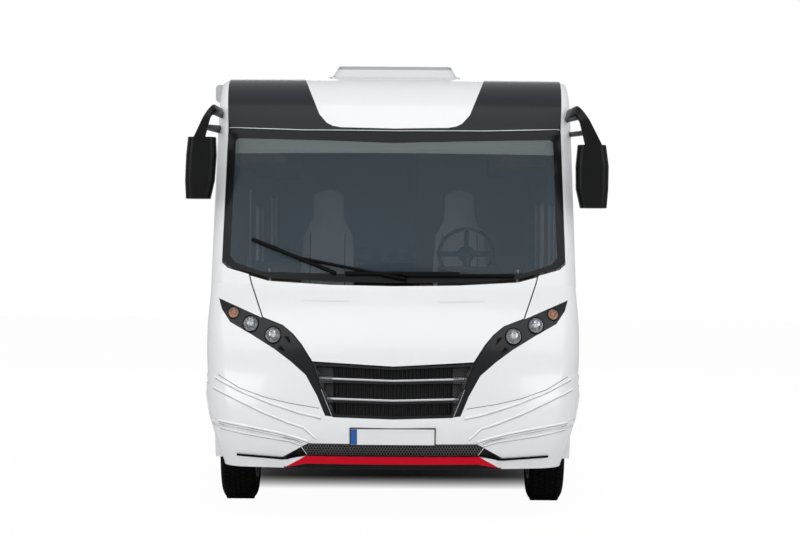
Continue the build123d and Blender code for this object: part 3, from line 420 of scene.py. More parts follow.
corners = [(x * FLOOR_HALF, y * FLOOR_HALF, 0) for x, y in ((-1, -1), (1, -1), (1, 1), (-1, 1))]
floor_mesh = plain_mesh("studio_floor", corners, [(0, 1, 2, 3)])
studio_floor = bpy.data.objects.new("studio_floor", floor_mesh)
scene.collection.objects.link(studio_floor)
pale_floor = Finish("studio_floor", (0.9, 0.9, 0.9), 0.7)
across = pale_floor.axis(0)
lengthwise = pale_floor.axis(1)
side_reach = (abs(across) - SHADOW_HALF_X) * SIDE_FADE
end_reach = (abs(lengthwise) - SHADOW_HALF_Y) / END_FADE
clear_of = side_reach.math("MAXIMUM", side_reach, end_reach)
open_floor = clear_of.math("MINIMUM", clear_of.math("MAXIMUM", clear_of, 0.0), 1.0)
paler = open_floor * open_floor * FLOOR_GLOW
# Under the vehicle the floor's colour is painted dark, and outside the patch pale: a painted shadow pool.
pale_floor.shade(open_floor, (0.12, 0.12, 0.12), (0.9, 0.9, 0.9))
white_glow = pale_floor.node("ShaderNodeEmission", None, STUDIO_WHITE, 1.0)
floor_camera_ray = pale_floor.node("ShaderNodeLightPath", None, out=0)
lit_floor = Wire(pale_floor, pale_floor.shader.outputs[0])
floor_out = pale_floor.node("ShaderNodeMixShader", None, floor_camera_ray * paler, lit_floor, white_glow)
pale_floor.tree.links.new(floor_out.socket, pale_floor.tree.nodes["Material Output"].inputs[0])
floor_mesh.materials.append(pale_floor.material)

# ---------------------------------------------------------------- white shell
# The body is glass-fibre laminate: a moulded front and bonnet, and flat sandwich walls and roof.
# Gel coat gives it one deep gloss; the panels meet in black sealed joints.
GEL_WHITE = (0.83, 0.84, 0.85)
gel_coat = painted("gel_coat", GEL_WHITE, 0.24, coat_weight=0.35, coat_roughness=0.05)
bumper_coat = painted("bumper_coat", GEL_WHITE, 0.24, coat_weight=0.35, coat_roughness=0.05)
BLACK_TOP = 0.309
BLACK_HALF = 0.672
# Low in the middle, behind the lip, the bumper is painted near black and matt: painted shade under the lip.
shade_behind_lip = (bumper_coat.axis(2) < BLACK_TOP) * (abs(bumper_coat.axis(0)) < BLACK_HALF)
bumper_coat.shade(shade_behind_lip, GEL_WHITE, (0.006, 0.006, 0.006))
bumper_coat.set("Roughness", 0.26 + shade_behind_lip * 0.6)
dress(bumper_coat, "bumper")
dress(gel_coat, "front_mask", "bonnet", "cowl_shield", "side_wall_left", "side_wall_right")
dress(gel_coat, "rear_wall", "roof", "rear_bumper", "driver_door", "entry_door", "skirts", "wheel_arch_trims")
dress(gel_coat, "garage_door_left", "garage_door_right", "roof_vents")

FRONT = ("front_mask", "bonnet", "bumper", "front_lip", "lamp_pods", "grille", "windscreen_surround")
FRONT += ("windscreen", "cowl_panels", "cowl_shield", "front_lamps")


def skin_of(names):
    """A search tree over the meshes of some CAD nodes."""
    points = []
    faces = []
    for name in names:
        mesh = NODES[name].data
        first = len(points)
        points += [vertex.co.copy() for vertex in mesh.vertices]
        faces += [tuple(first + index for index in polygon.vertices) for polygon in mesh.polygons]
    return BVHTree.FromPolygons(points, faces)


front_skin = skin_of(FRONT)


def on_front(x, z, proud=0.0, skin=front_skin):
    """The point of the front at a place in the front view, moved out along its normal."""
    point, normal, index, distance = skin.ray_cast(Vector((x, NOSE - 1.0, z)), Vector((0.0, 1.0, 0.0)))
    if point is None:
        return None
    if normal.y > 0:
        normal = -normal
    return point + normal * proud


def along(corner_points, step=0.03):
    """Points every step along straight runs between front-view corners."""
    walked = []
    for (x0, z0), (x1, z1) in zip(corner_points, corner_points[1:]):
        count = max(1, round(math.hypot(x1 - x0, z1 - z0) / step))
        walked += [(x0 + (x1 - x0) * i / count, z0 + (z1 - z0) * i / count) for i in range(count)]
    return walked + [corner_points[-1]]


def bead_on_front(name, corner_points, radius, proud, finish, body="body", skin=front_skin):
    """A bead laid on the front along front-view corners."""
    laid = [on_front(x, z, proud, skin) for x, z in along(corner_points)]
    return tube(name, [point for point in laid if point], radius, finish, body)


def on_side(points, side):
    """Front-view points carried to one side."""
    return [(side * x, z) for x, z in points]


# ---------------------------------------------------------------- bumper mouldings
# Each step has a rounded bead along its edge, painted whiter than the gel coat: a painted highlight.
# A grey line under each bead is a painted shadow, and a shut line closed by a seal runs under the front panel.
# Front-view points of each line from the middle outwards, the bead's radius, and whether it is a dark line:
# the shut line with its seal, or the groove, whose grey is painted shade.
seam_and_shade_grey = painted("seam_and_shade_grey", (0.16, 0.165, 0.17), 0.6)
step_highlight = painted("step_highlight", (0.96, 0.965, 0.97), 0.2, coat_weight=0.5, coat_roughness=0.05)
step_shade = painted("step_shade", (0.5, 0.505, 0.51), 0.5)
STEP_LINES = {
    "high": ([(0.439, 0.622), (0.575, 0.651), (0.762, 0.709), (0.951, 0.780), (1.107, 0.856)], 0.0045, False),
    "middle": (
        [(0.47, 0.494), (0.544, 0.560), (0.637, 0.589), (0.793, 0.648), (0.950, 0.719), (1.118, 0.794)],
        0.0045,
        False,
    ),
    "low": ([(0.520, 0.475), (0.582, 0.496), (0.699, 0.526), (0.886, 0.560), (1.083, 0.592)], 0.005, False),
    "foot": ([(0.560, 0.452), (0.638, 0.477), (0.887, 0.513), (1.071, 0.549)], 0.0045, False),
    "groove": ([(0.545, 0.462), (0.60, 0.482), (0.70, 0.505), (0.887, 0.537), (1.078, 0.571)], 0.0022, True),
    "shut": ([(0.452, 0.678), (0.637, 0.706), (0.793, 0.740), (0.951, 0.793), (1.087, 0.870)], 0.0022, True),
}
BEAD_OVER = 0.0015            # a white bead is this much rounder than its line
SHADE_DROP = 0.0095           # the shade under it lies this much lower
SHADE_RADIUS = 0.0032
SUNK = -0.0005
BONNET_CREASE = [(0.285, 1.334), (0.575, 1.3365)]
for side_name, side in SIDES:
    for line_name, (run, radius, dark_line) in STEP_LINES.items():
        placed = on_side(run, side)
        # A dark line is a grey tube: a seal in the shut line, and painted shade in the groove.
        if dark_line:
            bead_on_front(f"step_{line_name}_{side_name}", placed, radius, SUNK, seam_and_shade_grey)
            continue
        # The white bead is the painted highlight, and the grey tube under it is the painted shadow.
        bead_on_front(
            f"step_{line_name}_{side_name}", placed, radius + BEAD_OVER, 0.0, step_highlight
        )
        foot = [(x, z - SHADE_DROP) for x, z in placed]
        bead_on_front(
            f"step_shade_{line_name}_{side_name}", foot, SHADE_RADIUS, SUNK, step_shade
        )
    crease = on_side(BONNET_CREASE, side)
    bead_on_front("bonnet_crease_" + side_name, crease, 0.003, -0.001, gel_coat, "bonnet")

# ---------------------------------------------------------------- dark cowl and windscreen surround
# The cowl beside the white shield is dark pigmented laminate; the surround is black enamelled panel.
# A narrow bright moulding is pressed into the joint between the two.
COWL_COLOR = (0.0135, 0.0155, 0.0175)
SURROUND_COLOR = (0.0085, 0.0095, 0.0105)
cowl_dark = painted(
    "cowl_dark", COWL_COLOR, 0.22, coat_weight=0.05, coat_roughness=0.04, specular_ior_level=0.14
)
surround_black = painted(
    "surround_black", SURROUND_COLOR, 0.2, coat_weight=0.05, coat_roughness=0.03, specular_ior_level=0.12
)
bright_metal = Finish("bright_metal", (0.55, 0.56, 0.58), 0.3, metallic=1.0)
bright_metal.gloss(0.24, 0.14, 90.0, 4.0)
joint_rubber = painted("joint_rubber", (0.014, 0.014, 0.015), 0.62)
COWL_FOOT = 2.5
COWL_HEIGHT = 0.32
# Towards its top the cowl is painted paler: a painted highlight where it turns up to the overhead light.
cowl_highlight_rise = (cowl_dark.axis(2) - COWL_FOOT) / COWL_HEIGHT
cowl_dark.shade(cowl_highlight_rise, COWL_COLOR, (0.034, 0.037, 0.042))
dress(cowl_dark, "cowl_panels")
dress(surround_black, "windscreen_surround")
MOULDING = [(0.0, 2.4385), (0.6, 2.4445), (1.095, 2.466)]
for side_name, side in SIDES:
    bead_on_front(
        "cowl_moulding_" + side_name, on_side(MOULDING, side), 0.004, 0.001, bright_metal
    )

# ---------------------------------------------------------------- glass
# The windscreen is one bowed laminated pane, tinted, with a paler sun band along its top edge.
# The side panes are tinted acrylic in black rubber profiles.
windscreen_glass = Finish("windscreen_glass", (0.1, 0.125, 0.145), 0.03, ior=1.5, specular_ior_level=0.22)
screen_low, screen_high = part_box("windscreen")
height_share = (windscreen_glass.axis(2) - screen_low.z) / (screen_high.z - screen_low.z)
SUN_BAND_FROM = 0.885
sun_band = height_share > SUN_BAND_FROM
windscreen_glass.set("Alpha", 0.36 + sun_band * 0.3)
# Below the band the tint is painted paler towards the foot of the pane: a painted reflection.
tint_and_reflection = windscreen_glass.blend(height_share, (0.056, 0.085, 0.108), (0.04, 0.062, 0.08))
windscreen_glass.shade(sun_band, tint_and_reflection, (0.14, 0.168, 0.172))
windscreen_glass.grain(0.02, 0.01, 0.8)
pane_acrylic = Finish("pane_acrylic", (0.03, 0.035, 0.04), 0.05, ior=1.49)
pane_acrylic.set("Alpha", 0.72 + pane_acrylic.noise(0.7) * 0.05)
dress(windscreen_glass, "windscreen")
dress(pane_acrylic, "side_windows", "driver_door_window", "entry_door_window")

# ---------------------------------------------------------------- head lamps and their pods
# Each pod is a glossy moulding that sweeps from the grille up to the wing.
# It holds a dipped lamp, a main lamp and an amber indicator, each a bright bowl behind a clear lens.
pod_gloss = painted(
    "pod_gloss", (0.008, 0.009, 0.011), 0.24, coat_weight=0.1, coat_roughness=0.05, specular_ior_level=0.2
)
notch_black = painted("notch_black", (0.003, 0.003, 0.004), 0.7, specular_ior_level=0.1)
lens_clear = Finish("lens_clear", (0.75, 0.8, 0.83), 0.02, ior=1.5, specular_ior_level=0.3)
lens_clear.set("Alpha", 0.05 + lens_clear.noise(12.0) * 0.03)
bowl_chrome = Finish("bowl_chrome", (0.7, 0.71, 0.73), 0.1, metallic=1.0)
# The reflector is painted in small patches from near black to bright: painted reflections.
bowl_glints = bowl_chrome.noise(75.0, 1.0) * 2.2 - 0.6
bowl_chrome.shade(bowl_glints, (0.05, 0.055, 0.06), (0.82, 0.84, 0.86))
lamp_glow = Finish("lamp_glow", (0.55, 0.58, 0.62), 0.06, ior=1.5, coat_weight=0.5)
# The bulbs are painted with dark and bright specks: painted glints.
lamp_glow.shade(lamp_glow.noise(120.0) * 2.0 - 0.5, (0.2, 0.22, 0.24), (0.9, 0.93, 0.96))
amber_lens = Finish("amber_lens", (0.9, 0.32, 0.02), 0.12, ior=1.5)
# The amber lens is painted with dark patches among the amber: painted reflections.
amber_glints = amber_lens.noise(80.0, 1.0) * 2.4 - 0.7
amber_lens.shade(amber_glints, (0.12, 0.1, 0.09), (0.85, 0.3, 0.015))
dress(pod_gloss, "lamp_pods")
dress(lens_clear, "front_lamps")

# Name, distance from the middle, height and bore radius, and whether it is amber.
LAMPS = [
    ("indicator", 1.010, 1.255, 0.035, True),
    ("main", 0.895, 1.186, 0.048, False),
    ("dipped", 0.750, 1.119, 0.049, False),
]
LAMP_TURN = 40                # points round a lamp
SLANT_REACH = 0.02            # the slant of the skin is taken over twice this
# A lamp unit from its rim inwards: share of the bore radius, depth behind the skin in metres.
BOWL_PROFILE = [(0.98, 0.008), (0.88, 0.009), (0.85, 0.016), (0.76, 0.025), (0.58, 0.035), (0.3, 0.04)]
RING_PROFILE = [(1.1, 0.0008), (1.08, -0.0035), (0.98, -0.0045), (0.93, 0.0), (0.93, 0.009)]
BULB_PROFILE = [(0.36, 0.04), (0.36, 0.03), (0.3, 0.022), (0.18, 0.017), (0.001, 0.015)]


def turned(name, centre, radius, profile, tilt):
    """A shape turned about a line that runs front to back, following the slant of the skin."""
    points = []
    for share, depth in profile:
        for step in range(LAMP_TURN):
            angle = math.tau * step / LAMP_TURN
            x = centre.x + radius * share * math.cos(angle)
            z = centre.z + radius * share * math.sin(angle)
            slant = tilt[0] * (x - centre.x) + tilt[1] * (z - centre.z)
            points.append((x, centre.y + depth + slant, z))
    return plain_mesh(name, points, ring_faces(len(profile), LAMP_TURN), smooth=True)


for side_name, side in SIDES:
    for lamp_name, x, z, radius, amber in LAMPS:
        middle = on_front(side * x, z)
        across = on_front(side * x + SLANT_REACH, z).y - on_front(side * x - SLANT_REACH, z).y
        upwards = on_front(side * x, z + SLANT_REACH).y - on_front(side * x, z - SLANT_REACH).y
        slant = (across / (2 * SLANT_REACH), upwards / (2 * SLANT_REACH))
        label = f"{lamp_name}_{side_name}"
        for part, profile, finish, slot in (
            ("bowl", BOWL_PROFILE, amber_lens if amber else bowl_chrome, "lamp_glass"),
            ("ring", RING_PROFILE, notch_black, "dark_panel"),
            ("bulb", BULB_PROFILE, amber_lens if amber else lamp_glow, "lamp_glass"),
        ):
            part_mesh = turned(f"lamp_{part}_{label}", middle, radius, profile, slant)
            piece(part_mesh.name, part_mesh, finish)

# Two black facets on each pod beside the dipped lamp, and the bright line where the pod meets the grille.
FACETS = [
    [(0.634, 1.062), (0.662, 1.090), (0.680, 1.113), (0.648, 1.108)],
    [(0.668, 1.020), (0.715, 1.034), (0.697, 1.056)],
]
POD_LINE = [(0.374, 0.634), (0.416, 0.734), (0.463, 0.854), (0.498, 0.950)]
FACET_PROUD = 0.003
FACET_STEP = 0.008
for side_name, side in SIDES:
    for number, facet in enumerate(FACETS):
        middle = Vector((sum(x for x, z in facet), 0.0, sum(z for x, z in facet))) / len(facet)
        rim = along(on_side(facet + facet[:1], side), FACET_STEP)[:-1]
        points = [on_front(side * middle.x, middle.z, FACET_PROUD)]
        points += [on_front(x, z, FACET_PROUD) for x, z in rim]
        facet_mesh = plain_mesh(f"pod_facet_{number}_{side_name}", points, fan_faces(len(rim)), smooth=True)
        piece(facet_mesh.name, facet_mesh, notch_black)
    bead_on_front("pod_line_" + side_name, on_side(POD_LINE, side), 0.0022, 0.0, bright_metal)

# ---------------------------------------------------------------- grille
# A black moulding with a pleated mesh, two crossbars with bright upper faces and honeycomb corners.
# The intake under the bumper has the same honeycomb.
grille_black = painted("grille_black", (0.009, 0.009, 0.01), 0.4, specular_ior_level=0.3)
mesh_black = painted("mesh_black", (0.16, 0.16, 0.165), 0.5)
corner_black = painted("corner_black", (0.1, 0.1, 0.105), 0.5)
sheet_black = painted("sheet_black", (0.009, 0.009, 0.01), 0.42, specular_ior_level=0.3)
# The mesh is what lies behind the bowed front of the bars, above the foot of the grille.
GRILLE_FOOT = 0.6
BAR_DEPTH = 0.028
BOW_SHARE = 8.0
LEAN_SHARE = 0.6
rise = sheet_black.axis(2) - GRILLE_FOOT
bow = sheet_black.axis(0) * sheet_black.axis(0) / BOW_SHARE
sunk_in = (sheet_black.axis(1) - (NOSE + BAR_DEPTH) - rise * rise * LEAN_SHARE - bow) > 0.0
threads = sheet_black.waves(0.007, "Z") * sheet_black.waves(0.006, "X")
pleats = sheet_black.waves(0.013, "X") * 0.5 + threads * 0.5
in_grille = sheet_black.axis(2) > GRILLE_FOOT
sheet_black.shade(sunk_in * in_grille * pleats, (0.006, 0.006, 0.007), (0.06, 0.06, 0.062))
dress(sheet_black, "grille")
grille_skin = skin_of(["grille"])
CELL_WIRE = 0.11              # shares of the pitch: a cell's wire and radius, and the step between rows
CELL_RADIUS = 0.56
ROW_SHARE = 0.866
COMB_FOOT = 0.35
COMB_HEIGHT = 0.7
COMB_COLUMNS = 44
BRIGHT_BARS = [("upper", 0.842, 0.854, 0.452), ("lower", 0.722, 0.732, 0.402)]
BAR_FACE = 0.013
GRILLE_CORNER = [(0.376, 0.668), (0.405, 0.735), (0.452, 0.857), (0.481, 0.938), (0.376, 0.915)]
INTAKE = [(0.0, 0.382), (0.522, 0.382), (0.556, 0.434), (0.518, 0.458), (0.0, 0.458)]
INTAKE_EDGE = [(0.563, 0.434), (0.529, 0.386)]


def inside(x, z, outline):
    """Whether a front-view point lies inside an outline."""
    within = False
    for (x0, z0), (x1, z1) in zip(outline, outline[1:] + outline[:1]):
        if (z0 > z) != (z1 > z) and x < (x1 - x0) * (z - z0) / (z1 - z0) + x0:
            within = not within
    return within


def honeycomb(name, outlines, proud, pitch, finish):
    """Cells on a hexagonal grid inside front-view outlines, laid on the grille's sheets."""
    places = []
    row_pitch = pitch * ROW_SHARE
    for row in range(math.ceil(COMB_HEIGHT / row_pitch)):
        z = COMB_FOOT + row * pitch * ROW_SHARE
        for column in range(-COMB_COLUMNS, COMB_COLUMNS + 1):
            x = (column + 0.5 * (row % 2)) * pitch
            if any(inside(abs(x), z, outline) for outline in outlines):
                point = on_front(x, z, 0.0, grille_skin)
                if point:
                    places.append((point - Vector((0.0, proud, 0.0)), (math.pi / 2, 0.0, 0.0)))
    sizes = {"Radius": pitch * CELL_RADIUS, "Wire": pitch * CELL_WIRE}
    return grow(name, places, hex_cell, sizes, finish)


# The grille's corner honeycomb is painted darker than the intake's: painted shade deep in the grille.
honeycomb("grille_honeycomb", [GRILLE_CORNER], 0.004, 0.0135, corner_black)
honeycomb("intake_honeycomb", [INTAKE], 0.003, 0.0175, mesh_black)
for side_name, side in SIDES:
    edge = on_side(INTAKE_EDGE, side)
    bead_on_front(
        "intake_edge_" + side_name, edge, 0.003, 0.0035, gel_coat, skin=grille_skin
    )
# A black tube lies in the slot low on each side, outboard of the intake: painted shade in the gap.
SLOT_LINE = [(0.964, 0.3775), (0.83, 0.3695), (0.69, 0.3625), (0.6, 0.362)]
for side_name, side in SIDES:
    slot_run = along(SLOT_LINE)
    above = [on_front(side * x, z + 0.03) for x, z in slot_run]
    laid = [point + Vector((0.0, 0.004, z - point.z)) for point, (x, z) in zip(above, slot_run) if point]
    tube("intake_slot_" + side_name, laid, 0.0065, notch_black)
for bar_name, middle_z, end_z, half in BRIGHT_BARS:
    columns = 40
    points = []
    for low in (0.001, BAR_FACE):
        for step in range(columns + 1):
            x = -half + 2 * half * step / columns
            z = middle_z + (end_z - middle_z) * abs(x) / half + low
            points.append(on_front(x, z, 0.0015))
    faces = [(i, i + 1, i + columns + 2, i + columns + 1) for i in range(columns)]
    face_mesh = plain_mesh(f"grille_bar_{bar_name}", points, faces, smooth=True)
    thicken(piece(face_mesh.name, face_mesh, bright_metal), 0.0014, -1.0)

# ---------------------------------------------------------------- lip and number plate
# The red splitter under the bumper is red down to its foot line; below it the lip is painted near black:
# painted shade under the bumper.
# The number plate is blank reflective sheet in a black holder.
LIP_FOOT = 0.33
LIP_STRAIGHT = 0.53           # the foot is level to here, then falls to the sides
LIP_SLOPE = -0.2
lip_red = painted("lip_red", (0.62, 0.0, 0.016), 0.35, specular_ior_level=0.12)
outwards = abs(lip_red.axis(0))
foot_line = outwards.math("MAXIMUM", outwards - LIP_STRAIGHT, 0.0) * LIP_SLOPE + LIP_FOOT
lip_underside_shade = lip_red.axis(2) < foot_line
lip_red.shade(lip_underside_shade, (0.62, 0.0, 0.016), (0.006, 0.006, 0.006))
dress(lip_red, "front_lip")
plate_white = painted("plate_white", (0.86, 0.87, 0.87), 0.35)
plate_blue = painted("plate_blue", (0.006, 0.1, 0.36), 0.35)
dress(plate_white, "number_plates")
PLATE_HALF = 0.26
PLATE_HEIGHT = 0.11
BAND_WIDTH = 0.042
PLATE_TILT = math.radians(15.0)
PLATE_BACK = 0.022
PLATE_HALF_T = 0.004
PLATE_MIDDLE = 0.506


def plate_point(x, height, out):
    """A point on the front plate's face: across, up along its slope and out from it."""
    lean, rise = math.sin(PLATE_TILT), math.cos(PLATE_TILT)
    y = NOSE + PLATE_BACK - (PLATE_HALF_T + out) * rise - height * lean
    return (x, y, PLATE_MIDDLE - (PLATE_HALF_T + out) * lean + height * rise)


def plate_patch(name, x0, x1, low, high, out, finish):
    """A thin rectangle on the plate's face."""
    half = PLATE_HEIGHT / 2
    spots = [(x0, low * half), (x1, low * half), (x1, high * half), (x0, high * half)]
    points = [plate_point(x, z, out) for x, z in spots] + [plate_point(x, z, out - 0.0008) for x, z in spots]
    faces = [(0, 1, 2, 3), (7, 6, 5, 4), (0, 4, 5, 1), (1, 5, 6, 2), (2, 6, 7, 3), (3, 7, 4, 0)]
    return piece(name, plain_mesh(name, points, faces), finish)


plate_patch(
    "plate_band", -PLATE_HALF + 0.004, -PLATE_HALF + BAND_WIDTH, -0.9, 0.9, 0.0012, plate_blue
)
frame_run = [(-PLATE_HALF, -1), (PLATE_HALF, -1), (PLATE_HALF, 1), (-PLATE_HALF, 1)]
frame_points = [plate_point(x, z * PLATE_HEIGHT / 2, -0.0025) for x, z in frame_run]
tube("plate_holder", frame_points, 0.0055, grille_black, closed=True)

# ---------------------------------------------------------------- wipers
# Each arm is a pressed steel channel on a capped spindle, and carries a long flat blade.
wiper_black = painted("wiper_black", (0.002, 0.002, 0.0025), 0.5, specular_ior_level=0.1)
dress(wiper_black, "wipers")
WIPERS = [("right", (0.076, 1.466), (-0.625, 1.602), (-0.911, 1.718), (-0.367, 1.502))]
WIPERS += [("left", (0.761, 1.490), (0.059, 1.492), (-0.306, 1.502), (0.417, 1.502))]
glass_skin = skin_of(["windscreen", "windscreen_surround"])
for wiper_name, pivot, clip, tip, heel in WIPERS:
    blade = [on_front(x, z, 0.009, glass_skin) for x, z in along([tip, heel], 0.05)]
    tube("wiper_rubber_" + wiper_name, blade, 0.013, wiper_black)
    arm = [on_front(x, z, 0.016, glass_skin) for x, z in along([pivot, clip], 0.05)]
    tube("wiper_arm_" + wiper_name, [point for point in arm if point], 0.009, wiper_black)
    hub = on_front(*pivot, 0.012, glass_skin)
    facing = (math.pi / 2, 0.0, 0.0)
    hex_heads("wiper_nut_" + wiper_name, [hub], 0.0085, 0.008, wiper_black, turn=facing)

# ---------------------------------------------------------------- mirrors
# The mirror heads hang from sloping arms whose feet stand on the corners of the cab.
# Head and arm are grained black moulding, with two glasses that look back along the side.
grained_black = painted("grained_black", (0.0022, 0.0024, 0.0026), 0.34, specular_ior_level=0.2)
grained_black.grain(0.18, 0.0012, 420.0, 2.0)
mirror_glass = Finish("mirror_glass", (0.75, 0.77, 0.8), 0.03, metallic=1.0)
mirror_glass.gloss(0.02, 0.02, 8.0)
# The top height of each head and the height of each strut are by side.
HEAD_TOPS = {-1: 2.385, 1: 2.345}
ARM_TOP = 2.605
WALL_X = 1.14
ARM_SLOPE = 0.62
STRUT_Z = {-1: 2.466, 1: 2.502}
STRUT_REACH = 0.088
STRUT_HALF = 0.022
STRUT_SWELL = 0.7
ROOT = Vector((1.16, NOSE + 0.86))
ROOT_WAY = Vector((-0.571, 0.821))
ROOT_MOVE = Vector((0.012, 0.215))
arm_mesh = NODES["mirrors"].data.copy()
arm_mesh.name = "mirror_mouldings"
for vertex in arm_mesh.vertices:
    side = 1 if vertex.co.x > 0 else -1
    from_root = Vector((abs(vertex.co.x), vertex.co.y)) - ROOT
    if vertex.co.z > HEAD_TOPS[side] and from_root.dot(ROOT_WAY) > -0.01:
        vertex.co.x += side * ROOT_MOVE.x
        vertex.co.y += ROOT_MOVE.y
    reach = abs(vertex.co.x) - WALL_X
    off_strut = vertex.co.z - STRUT_Z[side]
    if reach < STRUT_REACH and abs(off_strut) < STRUT_HALF:
        vertex.co.z += off_strut * STRUT_SWELL
    climb = (vertex.co.z - HEAD_TOPS[side]) / (ARM_TOP - HEAD_TOPS[side])
    if climb > 0 and reach > 0:
        vertex.co.x = side * (WALL_X + reach * (1.0 - ARM_SLOPE * climb))
arm_mesh.materials.clear()
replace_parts(piece("mirror_mouldings", arm_mesh, grained_black), "mirrors")
# Side, inner and outer edge and height range of the rear face.
MIRROR_FACES = [("right", -1, 1.172, 1.342, 2.02, 2.36), ("left", 1, 1.192, 1.378, 1.98, 2.32)]
PANE_TURN = 28
HEAD_REAR = NOSE + 0.752
for face_name, side, inner, outer, low, high in MIRROR_FACES:
    split = low + 0.3 * (high - low)
    for glass_name, z0, z1 in (("wide", low + 0.012, split - 0.006), ("main", split + 0.006, high - 0.012)):
        middle = Vector((side * (inner + outer) / 2, HEAD_REAR + 0.001, (z0 + z1) / 2))
        half_x = (outer - inner) / 2 - 0.022
        half_z = (z1 - z0) / 2
        points = [middle]
        for step in range(PANE_TURN):
            across, up = squared(math.tau * step / PANE_TURN, 0.45)
            points.append(middle + Vector((across * half_x, 0.0, up * half_z)))
        pane_mesh = plain_mesh(f"mirror_{glass_name}_{face_name}", points, fan_faces(PANE_TURN))
        thicken(piece(pane_mesh.name, pane_mesh, mirror_glass), 0.003, 0.0)

# ---------------------------------------------------------------- wheels
# Steel wheels with eight windows and five nuts under a dished cap.
# The radial tyres have five rows of tread blocks.
wheel_silver = Finish("wheel_silver", (0.42, 0.43, 0.45), 0.32, metallic=0.7, coat_weight=0.3)
wheel_silver.gloss(0.26, 0.16, 70.0, 4.0)
tyre_rubber = Finish("tyre_rubber", (0.004, 0.004, 0.0042), 0.9, specular_ior_level=0.08)
tyre_rubber.shade(tyre_rubber.noise(9.0), (0.003, 0.003, 0.0032), (0.006, 0.006, 0.006))
tyre_rubber.grain(0.3, 0.001, 300.0, 3.0)
TYRE_TURN = 96
# The carcass from bead to bead on one side, then mirrored: distance from the middle plane, radius.
SIDEWALL = [(0.094, 0.2105), (0.099, 0.222), (0.104, 0.232), (0.1085, 0.252), (0.111, 0.28), (0.1118, 0.3)]
SIDEWALL += [(0.1118, 0.318), (0.107, 0.33), (0.1, 0.343), (0.092, 0.352), (0.078, 0.357), (0.0, 0.357)]
TREAD_ROWS = [-0.072, -0.036, 0.0, 0.036, 0.072]
TREAD_BLOCKS = 64
BLOCK = {"Width": 0.03, "Length": 0.0285, "Height": 0.0085}
TYRE_OUT = 0.366
BLOCK_SUNK = 0.0048
SHOULDER_TURN = 0.12
MIDDLE_TURN = -0.1
NUT_RING = 0.065
NUT_COUNT = 5
NUT_OUT = 0.052
NUT_START = 0.3
for corner in ("front_left", "front_right", "rear_left", "rear_right"):
    low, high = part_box("tyre_" + corner)
    hub = (low + high) / 2
    side = 1 if "left" in corner else -1
    body = "wheel_" + corner
    dress(wheel_silver, "rim_" + corner)
    profile = SIDEWALL + [(-x, r) for x, r in reversed(SIDEWALL[:-1])]
    points = []
    for x, radius in profile:
        for step in range(TYRE_TURN):
            angle = math.tau * step / TYRE_TURN
            points.append((hub.x + x, hub.y + radius * math.cos(angle), hub.z + radius * math.sin(angle)))
    tyre_mesh = plain_mesh(
        "tyre_body_" + corner, points, ring_faces(len(profile), TYRE_TURN, closed=True), smooth=True
    )
    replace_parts(piece("tyre_body_" + corner, tyre_mesh, tyre_rubber, body), "tyre_" + corner)
    places = []
    for row, offset in enumerate(TREAD_ROWS):
        for step in range(TREAD_BLOCKS):
            angle = math.tau * (step + 0.5 * (row % 2)) / TREAD_BLOCKS
            radius = TYRE_OUT - BLOCK_SUNK
            spot = (hub.x + offset, hub.y + radius * math.cos(angle), hub.z + radius * math.sin(angle))
            lean = SHOULDER_TURN if abs(offset) > 0.05 else MIDDLE_TURN
            places.append((spot, (angle - math.pi / 2, 0.0, lean)))
    grow("tyre_tread_" + corner, places, block_shape, BLOCK, tyre_rubber, body)
    nuts = []
    face_x = hub.x + side * NUT_OUT
    for step in range(NUT_COUNT):
        angle = math.tau * step / NUT_COUNT + NUT_START
        nuts.append((face_x, hub.y + NUT_RING * math.cos(angle), hub.z + NUT_RING * math.sin(angle)))
    hex_heads("wheel_nuts_" + corner, nuts, 0.0125, 0.022, bright_metal, body)

# ---------------------------------------------------------------- chassis
# Galvanised rails and outriggers, with the axles, the tanks and the engine hung between them.
coated_steel = Finish("coated_steel", (0.12, 0.125, 0.13), 0.5, metallic=0.6)
coated_steel.shade(coated_steel.noise(14.0, 5.0), (0.1, 0.1, 0.105), (0.2, 0.2, 0.21))
coated_steel.gloss(0.42, 0.25, 60.0)
cast_iron = painted("cast_iron", (0.09, 0.09, 0.095), 0.6)
tank_moulding = painted("tank_moulding", (0.13, 0.135, 0.14), 0.5)
dress(coated_steel, "chassis_frame", "axles", "knuckle_left", "knuckle_right")
dress(cast_iron, "engine")
dress(tank_moulding, "tanks")
rail_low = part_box("chassis_frame")[0]
BOLT_ROWS = 22
BOLT_PITCH = 0.29
BOLT_X = 0.5015
AXLE_SETBACK = 1.0
bolts = []
for step in range(BOLT_ROWS):
    y = rail_low.y + 0.35 + step * BOLT_PITCH
    if abs(y - NOSE - AXLE_SETBACK) > 0.1:
        bolts += [(x, y, rail_low.z + 0.12) for x in (-BOLT_X, BOLT_X)]
hex_heads("chassis_bolts", bolts, 0.011, 0.012, coated_steel)

# ---------------------------------------------------------------- roof fittings and awning
# The roof light is an acrylic dome on a moulded frame, and the vents are smaller domes of the same kind.
# The awning rolls into an aluminium case with moulded end caps.
smoke_acrylic = painted("smoke_acrylic", (0.24, 0.25, 0.26), 0.2, coat_weight=0.3)
anodised = Finish("anodised", (0.55, 0.56, 0.57), 0.35, metallic=0.75)
anodised.gloss(0.3, 0.18, 30.0, 4.0, (1.0, 0.04, 1.0))
dress(anodised, "awning")
DOME_ROWS = 6
DOME_TURN = 48
DOME_RISE = 0.0115


